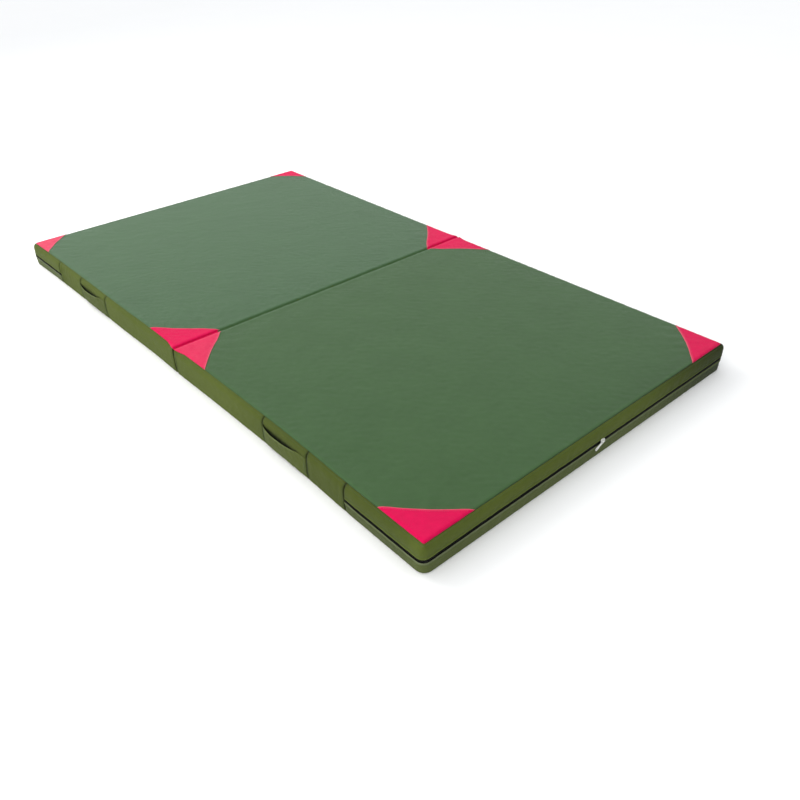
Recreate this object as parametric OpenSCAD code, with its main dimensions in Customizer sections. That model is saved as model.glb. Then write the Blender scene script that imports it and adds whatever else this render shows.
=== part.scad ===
// Folding gym mat. Two foam panels in zipped canvas covers, joined along their top edges.
// The fold line is the Y axis at the mat's middle, and the mat lies flat on z = 0.
// Every module below draws the right panel. The left one is the same panel turned half a turn.

/* [Mat] */
// Length of the mat lying flat, along X
mat_length = 2000; // [1800:10:2400]
// Width of the mat, along Y
mat_width = 1100; // [900:10:1300]
// Height of a panel from the floor to its top sheet
mat_height = 80; // [70:1:120]
// Gap between the two panels below the fold
fold_gap = 6; // [5:0.5:12]

/* [Cover] */
// Thickness of the cover cloth
cloth = 1.2; // [0.8:0.1:1.8]
// Radius of a panel's two outer corners, seen from above
outer_corner_r = 20; // [10:1:40]
// Radius of a panel's two corners at the fold, seen from above
fold_corner_r = 8; // [7:1:14]
// Length of the two short sides of a corner patch
patch_leg = 150; // [80:5:200]
// The same for the two patches at the mat's left end, which are cut smaller
patch_leg_left = 120; // [80:5:200]
// Thickness of a corner patch
patch_t = 0.6; // [0.4:0.1:1]
// Depth of the hinge strip's wing, sewn down the fold wall
hinge_wing = 20; // [12:1:30]

/* [Handles] */
// Distance between a handle's two sewn seams
handle_w = 180; // [160:2:200]
// Width of the handle's band, up the wall
handle_h = 49; // [35:1:52]
// Height of the band's lower edge above the floor
handle_z = 6; // [4:1:12]
// Thickness of the band, which is canvas folded double
handle_t = 2.4; // [1.6:0.2:4]
// Room between the wall and the middle of the band
handle_gap = 8; // [7:0.5:14]
// Middle of the handle, as a share of the panel's length from the fold
handle_place = 0.52; // [0.45:0.01:0.55]

/* [Zip] */
// Height of the zip's centre line, as a share of the panel's height
zip_share = 0.46; // [0.35:0.01:0.5]
// Opening between the two wall strips, where the zip shows
zip_opening = 9.5; // [7:0.5:10]
// How far the zip runs along the front, from the outer end
zip_reach_front = 250; // [200:10:280]
// How far the zip runs along the back, from the outer end
zip_reach_back = 220; // [150:10:280]
// Where the slider is parked, from the middle of the end wall
slider_y = 14; // [-300:1:300]
// Length of the pull tab beyond its bar
pull_length = 30; // [20:1:40]
// Slope of the pull tab below the zip line, in degrees
pull_slope = 30; // [0:1:30]

/* [Foam] */
// Thickness of the firm foam sheet under the top sheet
foam_top_t = 20; // [10:1:25]
// Thickness of the firm foam sheet on the bottom sheet
foam_base_t = 20; // [10:1:25]
// Distance from a panel's outline to the foam
foam_inset = 5; // [4.8:0.1:6]

/* [Hidden] */
$fn = 48;
// Distances along X
panel_start = fold_gap / 2;
panel_end = mat_length / 2;
handle_x = panel_end * handle_place;
handle_seam_in = handle_x - handle_w / 2;
handle_seam_out = handle_x + handle_w / 2;
side_start = panel_start + fold_corner_r;
zip_start_front = panel_end - zip_reach_front;
zip_start_back = panel_end - zip_reach_back;
// Heights
wall_low = cloth;
wall_high = mat_height - cloth;
zip_z = mat_height * zip_share;
foam_clear = 0.3;
foam_low = cloth + foam_clear;
foam_high = mat_height - cloth - foam_clear;
// Hinge strip: a web this far from the fold plane, and this far below the top sheet
hinge_clear = 0.2;
hinge_drop = 1;
// Handle: sewn end tabs, and the play between them and the band
tab_w = 12;
tab_play = 0.5;
band_half = handle_w / 2 - tab_w - tab_play;
band_clear = 0.3;
band_steps = 16;
// Zip: rows of teeth and tapes, as depths in from the panel's outline
row_gap = 1.8;
row_h = 2.5;
row_depth = [0.2, 2.6];
tape_depth = [1.5, 2.1];
tape_h = 13;
// Slider: two plates, the post that joins them and the arch that holds the pull tab
outer_plate = [0.6, 2];
inner_plate = [-4.2, -3];
slider_half_l = 8;
slider_half_w = 6;
nose_half_w = 3.6;
shoulder_l = 3.2;
post_l = 5;
post_w = 1.2;
arch_r = 5;
arch_t = 1.2;
arch_w = 1.6;
// How far a cutter stands past the shape that it cuts
cut_over = 1;
// Pull tab: the bar that it turns on, its window round the arch, and how far it leans on the wall
bar_above_plate = 1.9;
bar_height = outer_plate[1] + bar_above_plate;
bar_r = 0.8;
pull_t = 1.4;
pull_half_w = 4.9;
window_half_w = 3.6;
window_l = 6;
pull_lean = 5;

canvas_top = [0.33, 0.44, 0.31];
canvas_wall = [0.36, 0.42, 0.22];
canvas_strip = [0.4, 0.44, 0.28];
canvas_patch = [0.89, 0.16, 0.38];
canvas_handle = [0.43, 0.47, 0.29];
zip_black = [0.05, 0.05, 0.05];
zip_metal = [0.82, 0.83, 0.8];
foam_white = [0.9, 0.9, 0.86];
foam_chip = [0.66, 0.6, 0.55];

// The half turn that makes the left panel. It swaps front and back.
module left() {
    rotate([0, 0, 180]) children();
}

// The panel's outline, drawn in by inset
module outline(inset) {
    r_out = outer_corner_r - inset;
    r_fold = fold_corner_r - inset;
    x_low = panel_start + inset;
    x_high = panel_end - inset;
    half = mat_width / 2 - inset;
    translate([x_low + r_fold, -half]) square([x_high - r_out - x_low - r_fold, 2 * half]);
    translate([x_low, r_fold - half]) square([2 * r_fold, 2 * (half - r_fold)]);
    translate([x_high - 2 * r_out, r_out - half]) square([2 * r_out, 2 * (half - r_out)]);
    for (side = [-1, 1]) {
        translate([x_low + r_fold, side * (half - r_fold)]) circle(r = r_fold);
        translate([x_high - r_out, side * (half - r_out)]) circle(r = r_out);
    }
}

// A ring that follows the outline between two depths
module ring(depth) {
    difference() {
        outline(depth[0]);
        outline(depth[1]);
    }
}

// The stretch of a ring where the zip runs: round the outer end, from the front to the back
module zip_run(depth, low, high) {
    translate([0, 0, low]) linear_extrude(high - low) intersection() {
        ring(depth);
        union() {
            translate([zip_start_front, -mat_width / 2]) square([zip_reach_front, mat_width / 2]);
            translate([zip_start_back, 0]) square([zip_reach_back, mat_width / 2]);
        }
    }
}

// A slab with the panel's outline
module slab(inset, low, high) {
    translate([0, 0, low]) linear_extrude(high - low) outline(inset);
}

module top_sheet() {
    color(canvas_top) slab(0, wall_high, mat_height);
}

module bottom_sheet() {
    color(canvas_strip) slab(0, 0, wall_low);
}

// The wall that faces the other panel, with its two corners
module fold_wall() {
    color(canvas_wall) translate([0, 0, wall_low]) linear_extrude(wall_high - wall_low) intersection() {
        ring([0, cloth]);
        translate([panel_start, -mat_width / 2]) square([fold_corner_r, mat_width]);
    }
}

// A straight piece of wall between two seams, side -1 at the front and 1 at the back
module side_wall(side, from, to) {
    low_y = side < 0 ? -mat_width / 2 : mat_width / 2 - cloth;
    color(canvas_wall) translate([from, low_y, wall_low]) cube([to - from, cloth, wall_high - wall_low]);
}

module wall_inner(side) {
    side_wall(side, side_start, handle_seam_in);
}

module handle_wall(side) {
    side_wall(side, handle_seam_in, handle_seam_out);
}

module wall_outer(side) {
    side_wall(side, handle_seam_out, side < 0 ? zip_start_front : zip_start_back);
}

module zip_wall_upper() {
    color(canvas_wall) zip_run([0, cloth], zip_z + zip_opening / 2, wall_high);
}

module zip_wall_lower() {
    color(canvas_strip) zip_run([0, cloth], wall_low, zip_z - zip_opening / 2);
}

// A right-angled triangle of cloth on the top sheet, fitted to the corner
module patch(at_fold, side, leg = patch_leg) {
    corner_x = at_fold ? panel_start : panel_end;
    inward = at_fold ? 1 : -1;
    corner_y = side * mat_width / 2;
    color(canvas_patch) translate([0, 0, mat_height]) linear_extrude(patch_t) intersection() {
        outline(0);
        polygon([
            [corner_x, corner_y],
            [corner_x + inward * leg, corner_y],
            [corner_x, corner_y - side * leg]
        ]);
    }
}

// This panel's half of the hinge strip: a wing down the fold wall and a web to the fold line
module hinge_strip() {
    half = mat_width / 2 - fold_corner_r;
    high = mat_height - hinge_drop;
    color(canvas_top) translate([0, half, 0]) rotate([90, 0, 0]) linear_extrude(2 * half) polygon([
        [hinge_clear, high],
        [hinge_clear, high - cloth],
        [panel_start - cloth, high - cloth],
        [panel_start - cloth, high - hinge_wing],
        [panel_start, high - hinge_wing],
        [panel_start, high]
    ]);
}

// How far the band's inner face stands off the wall, s from -1 to 1 along the band
function band_off(s) = band_clear + handle_gap * (1 - pow(s, 4));

function band_side(extra) = [
    for (i = [0:band_steps]) let (s = 2 * i / band_steps - 1) [s * band_half, band_off(s) + extra]
];

function reversed(points) = [for (i = [len(points) - 1:-1:0]) points[i]];

// The loose middle of the handle's band
module handle(side) {
    color(canvas_handle) translate([handle_x, side * mat_width / 2, handle_z])
        mirror([0, side < 0 ? 1 : 0, 0])
            linear_extrude(handle_h) polygon(concat(band_side(0), reversed(band_side(handle_t))));
}

// The band's two ends, sewn flat to the wall
module handle_tabs(side) {
    low_y = side < 0 ? -mat_width / 2 - handle_t : mat_width / 2;
    color(canvas_handle)
        for (x = [handle_seam_in, handle_seam_out - tab_w])
            translate([x, low_y, handle_z]) cube([tab_w, handle_t, handle_h]);
}

module zip_tape(up) {
    near = row_gap / 2 + row_h;
    far = near + tape_h;
    color(zip_black) zip_run(tape_depth, zip_z + (up > 0 ? near : -far), zip_z + (up > 0 ? far : -near));
}

// A row of teeth as one plain bar. The rows stand apart by a little more than the slider's post.
module zip_teeth(up) {
    near = row_gap / 2;
    far = near + row_h;
    color(zip_black) zip_run(row_depth, zip_z + (up > 0 ? near : -far), zip_z + (up > 0 ? far : -near));
}

// Places a shape at the slider, with its X pointing out of the end wall
module at_slider() {
    translate([panel_end, slider_y, zip_z]) children();
}

// A flat plate across the end wall. Its outline has x along the zip and y up.
module plate(depth) {
    translate([depth[0], 0, 0]) rotate([90, 0, 90]) linear_extrude(depth[1] - depth[0]) children();
}

module slider_outline() {
    polygon([
        [-slider_half_l, -slider_half_w],
        [shoulder_l, -slider_half_w],
        [slider_half_l, -nose_half_w],
        [slider_half_l, nose_half_w],
        [shoulder_l, slider_half_w],
        [-slider_half_l, slider_half_w]
    ]);
}

module zip_slider() {
    color(zip_metal) at_slider() {
        plate(outer_plate) slider_outline();
        plate(inner_plate) slider_outline();
        translate([inner_plate[0], -post_l / 2, -post_w / 2])
            cube([outer_plate[1] - inner_plate[0], post_l, post_w]);
        translate([outer_plate[1], 0, -arch_w / 2]) difference() {
            cylinder(h = arch_w, r = arch_r);
            translate([0, 0, -cut_over]) cylinder(h = arch_w + 2 * cut_over, r = arch_r - arch_t);
            translate([-2 * arch_r, -arch_r - cut_over, -cut_over])
                cube([2 * arch_r, 2 * (arch_r + cut_over), arch_w + 2 * cut_over]);
        }
    }
}

// The pull tab, drawn with x along the tab, y along its bar and z away from the wall
module pull_shape() {
    tip_x = pull_length - pull_half_w;
    translate([0, pull_half_w, 0]) rotate([90, 0, 0]) cylinder(h = 2 * pull_half_w, r = bar_r);
    translate([0, 0, -pull_t / 2]) linear_extrude(pull_t) difference() {
        union() {
            translate([0, -pull_half_w]) square([tip_x, 2 * pull_half_w]);
            translate([tip_x, 0]) circle(r = pull_half_w);
        }
        translate([-cut_over, -window_half_w]) square([window_l + cut_over, 2 * window_half_w]);
    }
}

module zip_pull() {
    color(zip_metal) at_slider() translate([bar_height, 0, 0])
        rotate([180 + pull_slope, 0, 0]) rotate([90, 0, 90]) rotate([0, pull_lean, 0]) pull_shape();
}

module foam_top() {
    color(foam_white) slab(foam_inset, foam_high - foam_top_t, foam_high);
}

module foam_core() {
    color(foam_chip) slab(foam_inset, foam_low + foam_base_t, foam_high - foam_top_t);
}

module foam_base() {
    color(foam_white) slab(foam_inset, foam_low, foam_low + foam_base_t);
}

left() top_sheet();  // left_top_sheet
left() bottom_sheet();  // left_bottom_sheet
left() fold_wall();  // left_fold_wall
left() wall_inner(1);  // left_front_wall_inner
left() handle_wall(1);  // left_front_handle_wall
left() wall_outer(1);  // left_front_wall_outer
left() wall_inner(-1);  // left_back_wall_inner
left() handle_wall(-1);  // left_back_handle_wall
left() wall_outer(-1);  // left_back_wall_outer
left() zip_wall_upper();  // left_zip_wall_upper
left() zip_wall_lower();  // left_zip_wall_lower
left() patch(false, 1, patch_leg_left);  // left_patch_outer_front
left() patch(false, -1, patch_leg_left);  // left_patch_outer_back
left() patch(true, 1);  // left_patch_fold_front
left() patch(true, -1);  // left_patch_fold_back
left() hinge_strip();  // left_hinge_strip
left() handle(1);  // left_front_handle
left() handle_tabs(1);  // left_front_handle_tabs
left() handle(-1);  // left_back_handle
left() handle_tabs(-1);  // left_back_handle_tabs
left() zip_tape(1);  // left_zip_tape_upper
left() zip_tape(-1);  // left_zip_tape_lower
left() zip_teeth(1);  // left_zip_teeth_upper
left() zip_teeth(-1);  // left_zip_teeth_lower
left() zip_slider();  // left_zip_slider
left() zip_pull();  // left_zip_pull
left() foam_top();  // left_foam_top
left() foam_core();  // left_foam_core
left() foam_base();  // left_foam_base
top_sheet();  // right_top_sheet
bottom_sheet();  // right_bottom_sheet
fold_wall();  // right_fold_wall
wall_inner(-1);  // right_front_wall_inner
handle_wall(-1);  // right_front_handle_wall
wall_outer(-1);  // right_front_wall_outer
wall_inner(1);  // right_back_wall_inner
handle_wall(1);  // right_back_handle_wall
wall_outer(1);  // right_back_wall_outer
zip_wall_upper();  // right_zip_wall_upper
zip_wall_lower();  // right_zip_wall_lower
patch(false, -1);  // right_patch_outer_front
patch(false, 1);  // right_patch_outer_back
patch(true, -1);  // right_patch_fold_front
patch(true, 1);  // right_patch_fold_back
hinge_strip();  // right_hinge_strip
handle(-1);  // right_front_handle
handle_tabs(-1);  // right_front_handle_tabs
handle(1);  // right_back_handle
handle_tabs(1);  // right_back_handle_tabs
zip_tape(1);  // right_zip_tape_upper
zip_tape(-1);  // right_zip_tape_lower
zip_teeth(1);  // right_zip_teeth_upper
zip_teeth(-1);  // right_zip_teeth_lower
zip_slider();  // right_zip_slider
zip_pull();  // right_zip_pull
foam_top();  // right_foam_top
foam_core();  // right_foam_core
foam_base();  // right_foam_base
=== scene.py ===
"""Folding gym mat: two foam panels in zipped canvas covers, lying open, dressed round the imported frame.

Every piece is drawn on the right panel, in metres in the frame's own axes, and the left panel is the
same panel given a half turn about Z, with its own creases. A cover is one soft surface: form() rounds
the panel's box, a cloth simulation drapes it, and each sewn piece is cut from that surface.
"""

import math

import bmesh
import bpy
import numpy as np
from mathutils import Matrix, Vector


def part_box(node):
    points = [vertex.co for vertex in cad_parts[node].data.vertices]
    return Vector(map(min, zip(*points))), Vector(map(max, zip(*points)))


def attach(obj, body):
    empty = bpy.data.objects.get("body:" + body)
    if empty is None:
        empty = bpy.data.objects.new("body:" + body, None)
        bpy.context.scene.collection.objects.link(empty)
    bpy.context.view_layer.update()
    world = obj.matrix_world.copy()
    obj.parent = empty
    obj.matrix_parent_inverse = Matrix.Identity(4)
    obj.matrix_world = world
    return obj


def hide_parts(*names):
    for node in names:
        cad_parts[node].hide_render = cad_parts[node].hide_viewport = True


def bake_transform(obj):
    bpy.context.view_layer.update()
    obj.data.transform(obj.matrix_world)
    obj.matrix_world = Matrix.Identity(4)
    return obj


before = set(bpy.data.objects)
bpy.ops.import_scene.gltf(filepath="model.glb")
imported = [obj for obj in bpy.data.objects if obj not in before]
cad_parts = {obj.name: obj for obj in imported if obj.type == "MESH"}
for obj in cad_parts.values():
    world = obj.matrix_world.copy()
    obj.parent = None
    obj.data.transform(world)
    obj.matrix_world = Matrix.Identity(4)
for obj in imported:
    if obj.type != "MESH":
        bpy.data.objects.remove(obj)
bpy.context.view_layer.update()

MM = 0.001

# The panel, its seams and its zip, from the frame
top_low, top_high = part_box("right_top_sheet")
START, END = top_low.x, top_high.x
HALF, HEIGHT = top_high.y, top_high.z
LENGTH, WIDTH = END - START, 2 * HALF
tabs_low, tabs_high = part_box("right_front_handle_tabs")
HANDLE_IN, HANDLE_OUT = tabs_low.x, tabs_high.x
HANDLE_MIDDLE = (HANDLE_IN + HANDLE_OUT) / 2
BAND_LOW, BAND_HIGH = tabs_low.z, tabs_high.z
BAND_THICK = -HALF - tabs_low.y
CORNER_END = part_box("right_fold_wall")[1].x
ZIP_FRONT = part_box("right_front_wall_outer")[1].x
ZIP_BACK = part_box("right_back_wall_outer")[1].x
OPEN_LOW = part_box("right_zip_wall_lower")[1].z
OPEN_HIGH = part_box("right_zip_wall_upper")[0].z
ZIP_Z = (OPEN_LOW + OPEN_HIGH) / 2
slider_low, slider_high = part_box("right_zip_slider")
SLIDER_Y = (slider_low.y + slider_high.y) / 2
STRIP_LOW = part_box("right_hinge_strip")[0].z

# Distances round a panel: along the front, up the outer end, along the back, down the fold wall
BACK_END = 2 * LENGTH + WIDTH
ROUND = 2 * (LENGTH + WIDTH)
CORNERS = [0, LENGTH, LENGTH + WIDTH, BACK_END, ROUND]


def patch_leg(cad):
    """The short side of a corner patch."""
    low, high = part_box(cad)
    return high.x - low.x


def at_front(x):
    """The distance round of a place on the front wall."""
    return x - START


def at_back(x):
    """The distance round of a place on the back wall."""
    return LENGTH + WIDTH + END - x


def at_end(y):
    """The distance round of a place on the end wall."""
    return LENGTH + HALF + y


# Softness of the panel
OUTER_R = 11 * MM          # the two outer corners, seen from above
OUTER_R_LOW = {"left": 7 * MM, "right": 22 * MM}   # the same corners at the floor
FOLD_R = 4 * MM            # the two corners at the fold
EDGE_R = 17 * MM           # the top edge
EDGE_R_FOLD = 8 * MM       # the top edge beside the crease
EDGE_R_EASE = 30 * MM      # from one to the other
LOW_EDGE_R = 3 * MM
CROWN_RISE = -0.4 * MM     # the middle of the top over the frame's height
CROWN_FALL = 1.1 * MM      # how much lower the edges are
CROWN_REACH = 110 * MM
TOP_LIMIT = 80.6 * MM      # folded panels meet face to face just above this height
BELLY = 1.8 * MM           # how far the foam pushes a wall out at half its height
END_FIRM = 0.85            # how much less of that there is on the end wall
# How far the mat's front edge strays outward: (distance from the fold in m, mm)
BOW = {"right": [(0, -4.5), (0.2, -7.5), (0.45, -8), (0.6, -6), (0.75, -0.5), (1, 2.5)],
       "left": [(0, -4.5), (0.12, -7), (0.3, -3), (0.6, -1), (0.85, 2.5), (1, 7)]}
SEAM_IN = 8.5 * MM         # how far in from the edge the top seam lies, on the rounded shoulder
SEAM_EASE = 45 * MM        # it nears the edge over this length beside the fold
SEAM_REACH = 25 * MM       # how far down the wall the cloth is drawn up with it
TOP_REACH = 45 * MM        # how far over the top the cloth is drawn in with it
SLIDE_R = 100 * MM         # corners where that happens towards both walls at once
SHADY_END = 0.75           # how much darker the end wall's far end is: painted shade, where the light falls off
SHADY_FRONT = 0.25         # the same painted shade for the right panel's front wall
TOP_SEAM_DIP = 1.7 * MM
TOP_SEAM_W = 1.7 * MM
TOP_SEAM_FROM = 0.7        # towards the fold from here, in metres, the top seam is shallower
TOP_SEAM_EASE = 0.07
TOP_SEAM_FAINT = 0.4       # its share of the depth there
SEAM_PULL_IN = 0.5         # shares of the dip that go inward and down
SEAM_PULL_DOWN = 0.9
PUCKERS = [(0.25, 3.4, 0), (0.2, 5.3, 1)]   # waves in the dip: share, mm a radian, phase
UPRIGHT_DIP = 3.4 * MM
FOLD_SEAM_DIP = 0.8 * MM
UPRIGHT_W = 1.7 * MM
RIPPLE_TOP = 0.45 * MM     # slow unevenness of the top, and of the walls
RIPPLE_WALL = 0.5 * MM
PULL_DEEP = 0.6 * MM       # the creases that run in from the patches
PULL_WAVE = 7 * MM         # over 2 pi of those, across them
PULL_FADE = 55 * MM
PULL_SPREAD = 105 * MM
HOLLOW_DEEP = 3.6 * MM     # what hands have pushed in behind each handle
HOLLOW_SHARE = 0.37        # where along the handle the hollow is deepest
HOLLOW_LONG = 50 * MM
HOLLOW_TALL = 15 * MM
HOLLOW_Z = 46 * MM
GATHER_DEEP = 1.9 * MM     # the upright folds beyond the zip's ends
GATHER_WAVE = 3.6 * MM
GATHER_FADE = 70 * MM
# Painted shade: how dark the colour is made where shade falls, in the gap at the fold, the upright seams,
# the gathers, the end wall's top seam and behind the handles
MOST_PAINTED_SHADE = 0.92          # in the gap at the fold
SEAM_PAINTED_SHADE = 0.85
SEAM_PAINTED_SHADE_W = 2.6 * MM
GATHER_PAINTED_SHADE = 0.5
EDGE_PAINTED_SHADE = 0.4           # in the end wall's top seam
POCKET_PAINTED_SHADE = 0.9         # behind the handles
GAP_FADE = 30 * MM         # how far into the gap at the fold its painted shade goes
CLOTH = 1.0 * MM
FINE = np.array([0, 0.5, 1.0, 1.7, 2.6, 3.8, 5.4, 7.8, 11, 15]) * MM   # lines beside an edge or a seam
STEP = 6 * MM


def smooth(t):
    """A soft step from 0 to 1."""
    t = np.clip(t, 0, 1)
    return t * t * (3 - 2 * t)


def bell(distance, width):
    """A soft bump, 1 at no distance."""
    return np.exp(-(distance / width) ** 2)


def lines(low, high, step=STEP, fine_low=True, fine_high=True):
    """Places from low to high, about step apart, closer together beside the ends that are fine."""
    start = low + FINE if fine_low else np.array([low])
    stop = high - FINE[::-1] if fine_high else np.array([high])
    count = max(2, round((stop[0] - start[-1]) / step) + 1)
    middle = np.linspace(start[-1], stop[0], count)
    return np.concatenate([start[:-1], middle, stop[1:]])


def form(x, y, z, low_r):
    """Takes points of the sharp-edged box to the soft panel. Gives them with the level way out of it."""
    outer = x > (START + END) / 2
    radius = np.where(outer, OUTER_R + (low_r - OUTER_R) * smooth(1 - z / HEIGHT), FOLD_R)
    side_x = np.where(outer, 1.0, -1.0)
    side_y = np.where(y > 0, 1.0, -1.0)
    edge_x = np.where(outer, END, START)
    from_x = np.abs(edge_x - x)
    from_y = HALF - np.abs(y)
    from_seam = np.minimum(from_x, from_y) + HEIGHT - z
    from_x, from_y, drop = slid(from_x, from_y, HEIGHT - z, x)

    over_x = np.maximum(radius - from_x, 0)
    over_y = np.maximum(radius - from_y, 0)
    reach = np.maximum(np.hypot(over_x, over_y), 1e-9)
    corner = (over_x > 0) & (over_y > 0)
    scale = np.maximum(over_x, over_y) / reach
    out_x = np.where(corner, side_x * over_x / reach, np.where(from_x < from_y, side_x, 0.0))
    out_y = np.where(corner, side_y * over_y / reach, np.where(from_x < from_y, 0.0, side_y))
    x = np.where(corner, edge_x + side_x * (over_x * scale - radius), edge_x - side_x * from_x)
    y = np.where(corner, side_y * (HALF + over_y * scale - radius), side_y * (HALF - from_y))

    depth = np.minimum(from_x, from_y)
    high = HEIGHT + CROWN_RISE - CROWN_FALL * (1 - smooth(depth / CROWN_REACH))
    z = (HEIGHT - drop) * high / HEIGHT
    edge_r = EDGE_R_FOLD + (EDGE_R - EDGE_R_FOLD) * smooth((x - START) / EDGE_R_EASE)
    deeper, fall = rounded(depth, high - z, edge_r)
    deeper_low, rise = rounded(depth, z, LOW_EDGE_R)
    move = np.maximum(deeper, deeper_low) - depth
    level = z
    z = np.where(z > high / 2, high - fall, rise)

    along = (x + y) / MM
    pucker = 1.0
    for share, wave, phase in PUCKERS:
        pucker = pucker + share * np.sin(along / wave + phase)
    strong = TOP_SEAM_FAINT + (1 - TOP_SEAM_FAINT) * smooth((x - TOP_SEAM_FROM) / TOP_SEAM_EASE)
    dip = TOP_SEAM_DIP * strong * pucker * np.exp(-from_seam / TOP_SEAM_W)
    wall = np.where(depth < 0.5 * MM, 1.0, 0.0)
    belly = wall * BELLY * np.sin(math.pi * level / HEIGHT) * (1 - END_FIRM * np.maximum(out_x, 0))
    move = move + SEAM_PULL_IN * dip - belly
    points = np.stack([x - out_x * move, y - out_y * move, z - SEAM_PULL_DOWN * dip], axis=-1)
    return points, np.stack([out_x, out_y, np.zeros_like(out_x)], axis=-1)


def slid(from_x, from_y, drop, x):
    """Draws the cloth up the wall and inward, so that the box's edge comes to lie SEAM_IN in on the top."""
    depth = np.minimum(from_x, from_y)
    place = depth - drop
    reach = np.where(place > 0, TOP_REACH, SEAM_REACH)
    place = place + SEAM_IN * smooth((x - START) / SEAM_EASE) * bell(place, reach)
    cloth = drop < HEIGHT
    inward = np.where(cloth, np.maximum(place, 0) - depth, 0)
    over_x = np.maximum(SLIDE_R - from_x, 0)
    over_y = np.maximum(SLIDE_R - from_y, 0)
    most = np.maximum(np.maximum(over_x, over_y), 1e-7)
    grow = np.maximum(most - inward, 0) / most
    from_x = np.where(over_x > 0, SLIDE_R - over_x * grow, from_x)
    from_y = np.where(over_y > 0, SLIDE_R - over_y * grow, from_y)
    return from_x, from_y, np.where(cloth, np.maximum(-place, 0), drop)


def rounded(depth, drop, radius):
    """Where a point of a square edge lies once the edge is rounded."""
    near = (depth < radius) & (drop < radius)
    a, b = radius - depth, radius - drop
    reach = np.maximum(np.hypot(a, b), 1e-9)
    deeper = np.where(near, radius - a * radius / reach, depth)
    return deeper, np.where(near, radius - b * radius / reach, drop)


def box_place(s):
    """The plan place of a distance round the panel."""
    s = np.mod(s, ROUND)
    x = np.interp(s, CORNERS, [START, END, END, START, START])
    y = np.interp(s, CORNERS, [-HALF, -HALF, HALF, HALF, -HALF])
    return x, y


# ------------------------------------------------------------------ cloth simulation of a cover

CELL = 10 * MM
SIM_ROWS = np.array([80, 73, 65, 56, 47, 37.6, 33.6, 29.6, 20, 10, 0]) / 80 * HEIGHT
SIM_FRAMES = 20
CAP = {"top": 0.9 * MM, "wall": 2.4 * MM}


def shell():
    """The sharp box as a coarse mesh: its points, its quads, and which point is at each grid place."""
    xs = np.linspace(START, END, round(LENGTH / CELL) + 1)
    ys = np.linspace(-HALF, HALF, round(WIDTH / CELL) + 1)
    x, y = np.meshgrid(xs, ys, indexing="ij")
    top = np.arange(x.size).reshape(x.shape)
    rim = np.concatenate([top[:-1, 0], top[-1, :-1], top[:0:-1, -1], top[0, :0:-1]])
    rows = np.arange(len(rim) * (len(SIM_ROWS) - 1)).reshape(len(rim), -1) + x.size
    wall = np.concatenate([rim[:, None], rows], axis=1)
    rim_x, rim_y = x.ravel()[rim], y.ravel()[rim]
    wall_x = np.repeat(rim_x[:, None], len(SIM_ROWS) - 1, axis=1)
    wall_y = np.repeat(rim_y[:, None], len(SIM_ROWS) - 1, axis=1)
    wall_z = np.broadcast_to(SIM_ROWS[1:], wall_x.shape)
    place = [np.concatenate([a.ravel(), b.ravel()]) for a, b in
             ((x, wall_x), (y, wall_y), (np.full(x.shape, HEIGHT), wall_z))]
    return place, quads(top, False) + quads(wall, True), top, wall


def quads(index, closed):
    """The quads of a grid of point numbers, closed on itself along its first axis or not."""
    ahead = np.roll(index, -1, axis=0) if closed else index[1:]
    index = index if closed else index[:-1]
    made = np.stack([index[:, :-1], ahead[:, :-1], ahead[:, 1:], index[:, 1:]], axis=-1)
    return made.reshape(-1, 4).tolist()


def flat_places(along, across):
    """The flat cloth's places of a grid: along for each row, across for each column."""
    return np.stack(np.meshgrid(along, across, indexing="ij"), axis=-1)


def tube_faces(index):
    """The quads of a tube of point numbers: a row for each ring."""
    ahead = np.roll(index, -1, axis=1)
    return np.stack([index[:-1], ahead[:-1], ahead[1:], index[1:]], axis=-1).reshape(-1, 4).tolist()


def foam_hold(place):
    """How firmly foam and seams hold each point of the cover, from 0 to 1."""
    x, y, z = place
    depth = np.minimum(np.minimum(END - x, x - START), HALF - np.abs(y))
    on_top = z > HEIGHT - MM
    hold = np.where(on_top, 0.5 + 0.2 * smooth(depth / 0.25), 0.42)
    seam = on_top & (depth < MM)
    hold = np.where(seam, 0.74, hold)
    for seam_x in (HANDLE_IN, HANDLE_OUT):
        hold = np.where((np.abs(x - seam_x) < CELL * 0.6) & (depth < MM), np.maximum(hold, 0.75), hold)
    zip_run = (x > np.where(y < 0, ZIP_FRONT, ZIP_BACK) - CELL) & ~on_top
    hold = np.where(zip_run & (z > OPEN_LOW - MM) & (z < OPEN_HIGH + MM), 1.0, hold)
    hold = np.where((x < START + MM) & ~on_top, 0.9, hold)
    return np.where(z < MM, 1.0, hold)


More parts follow.
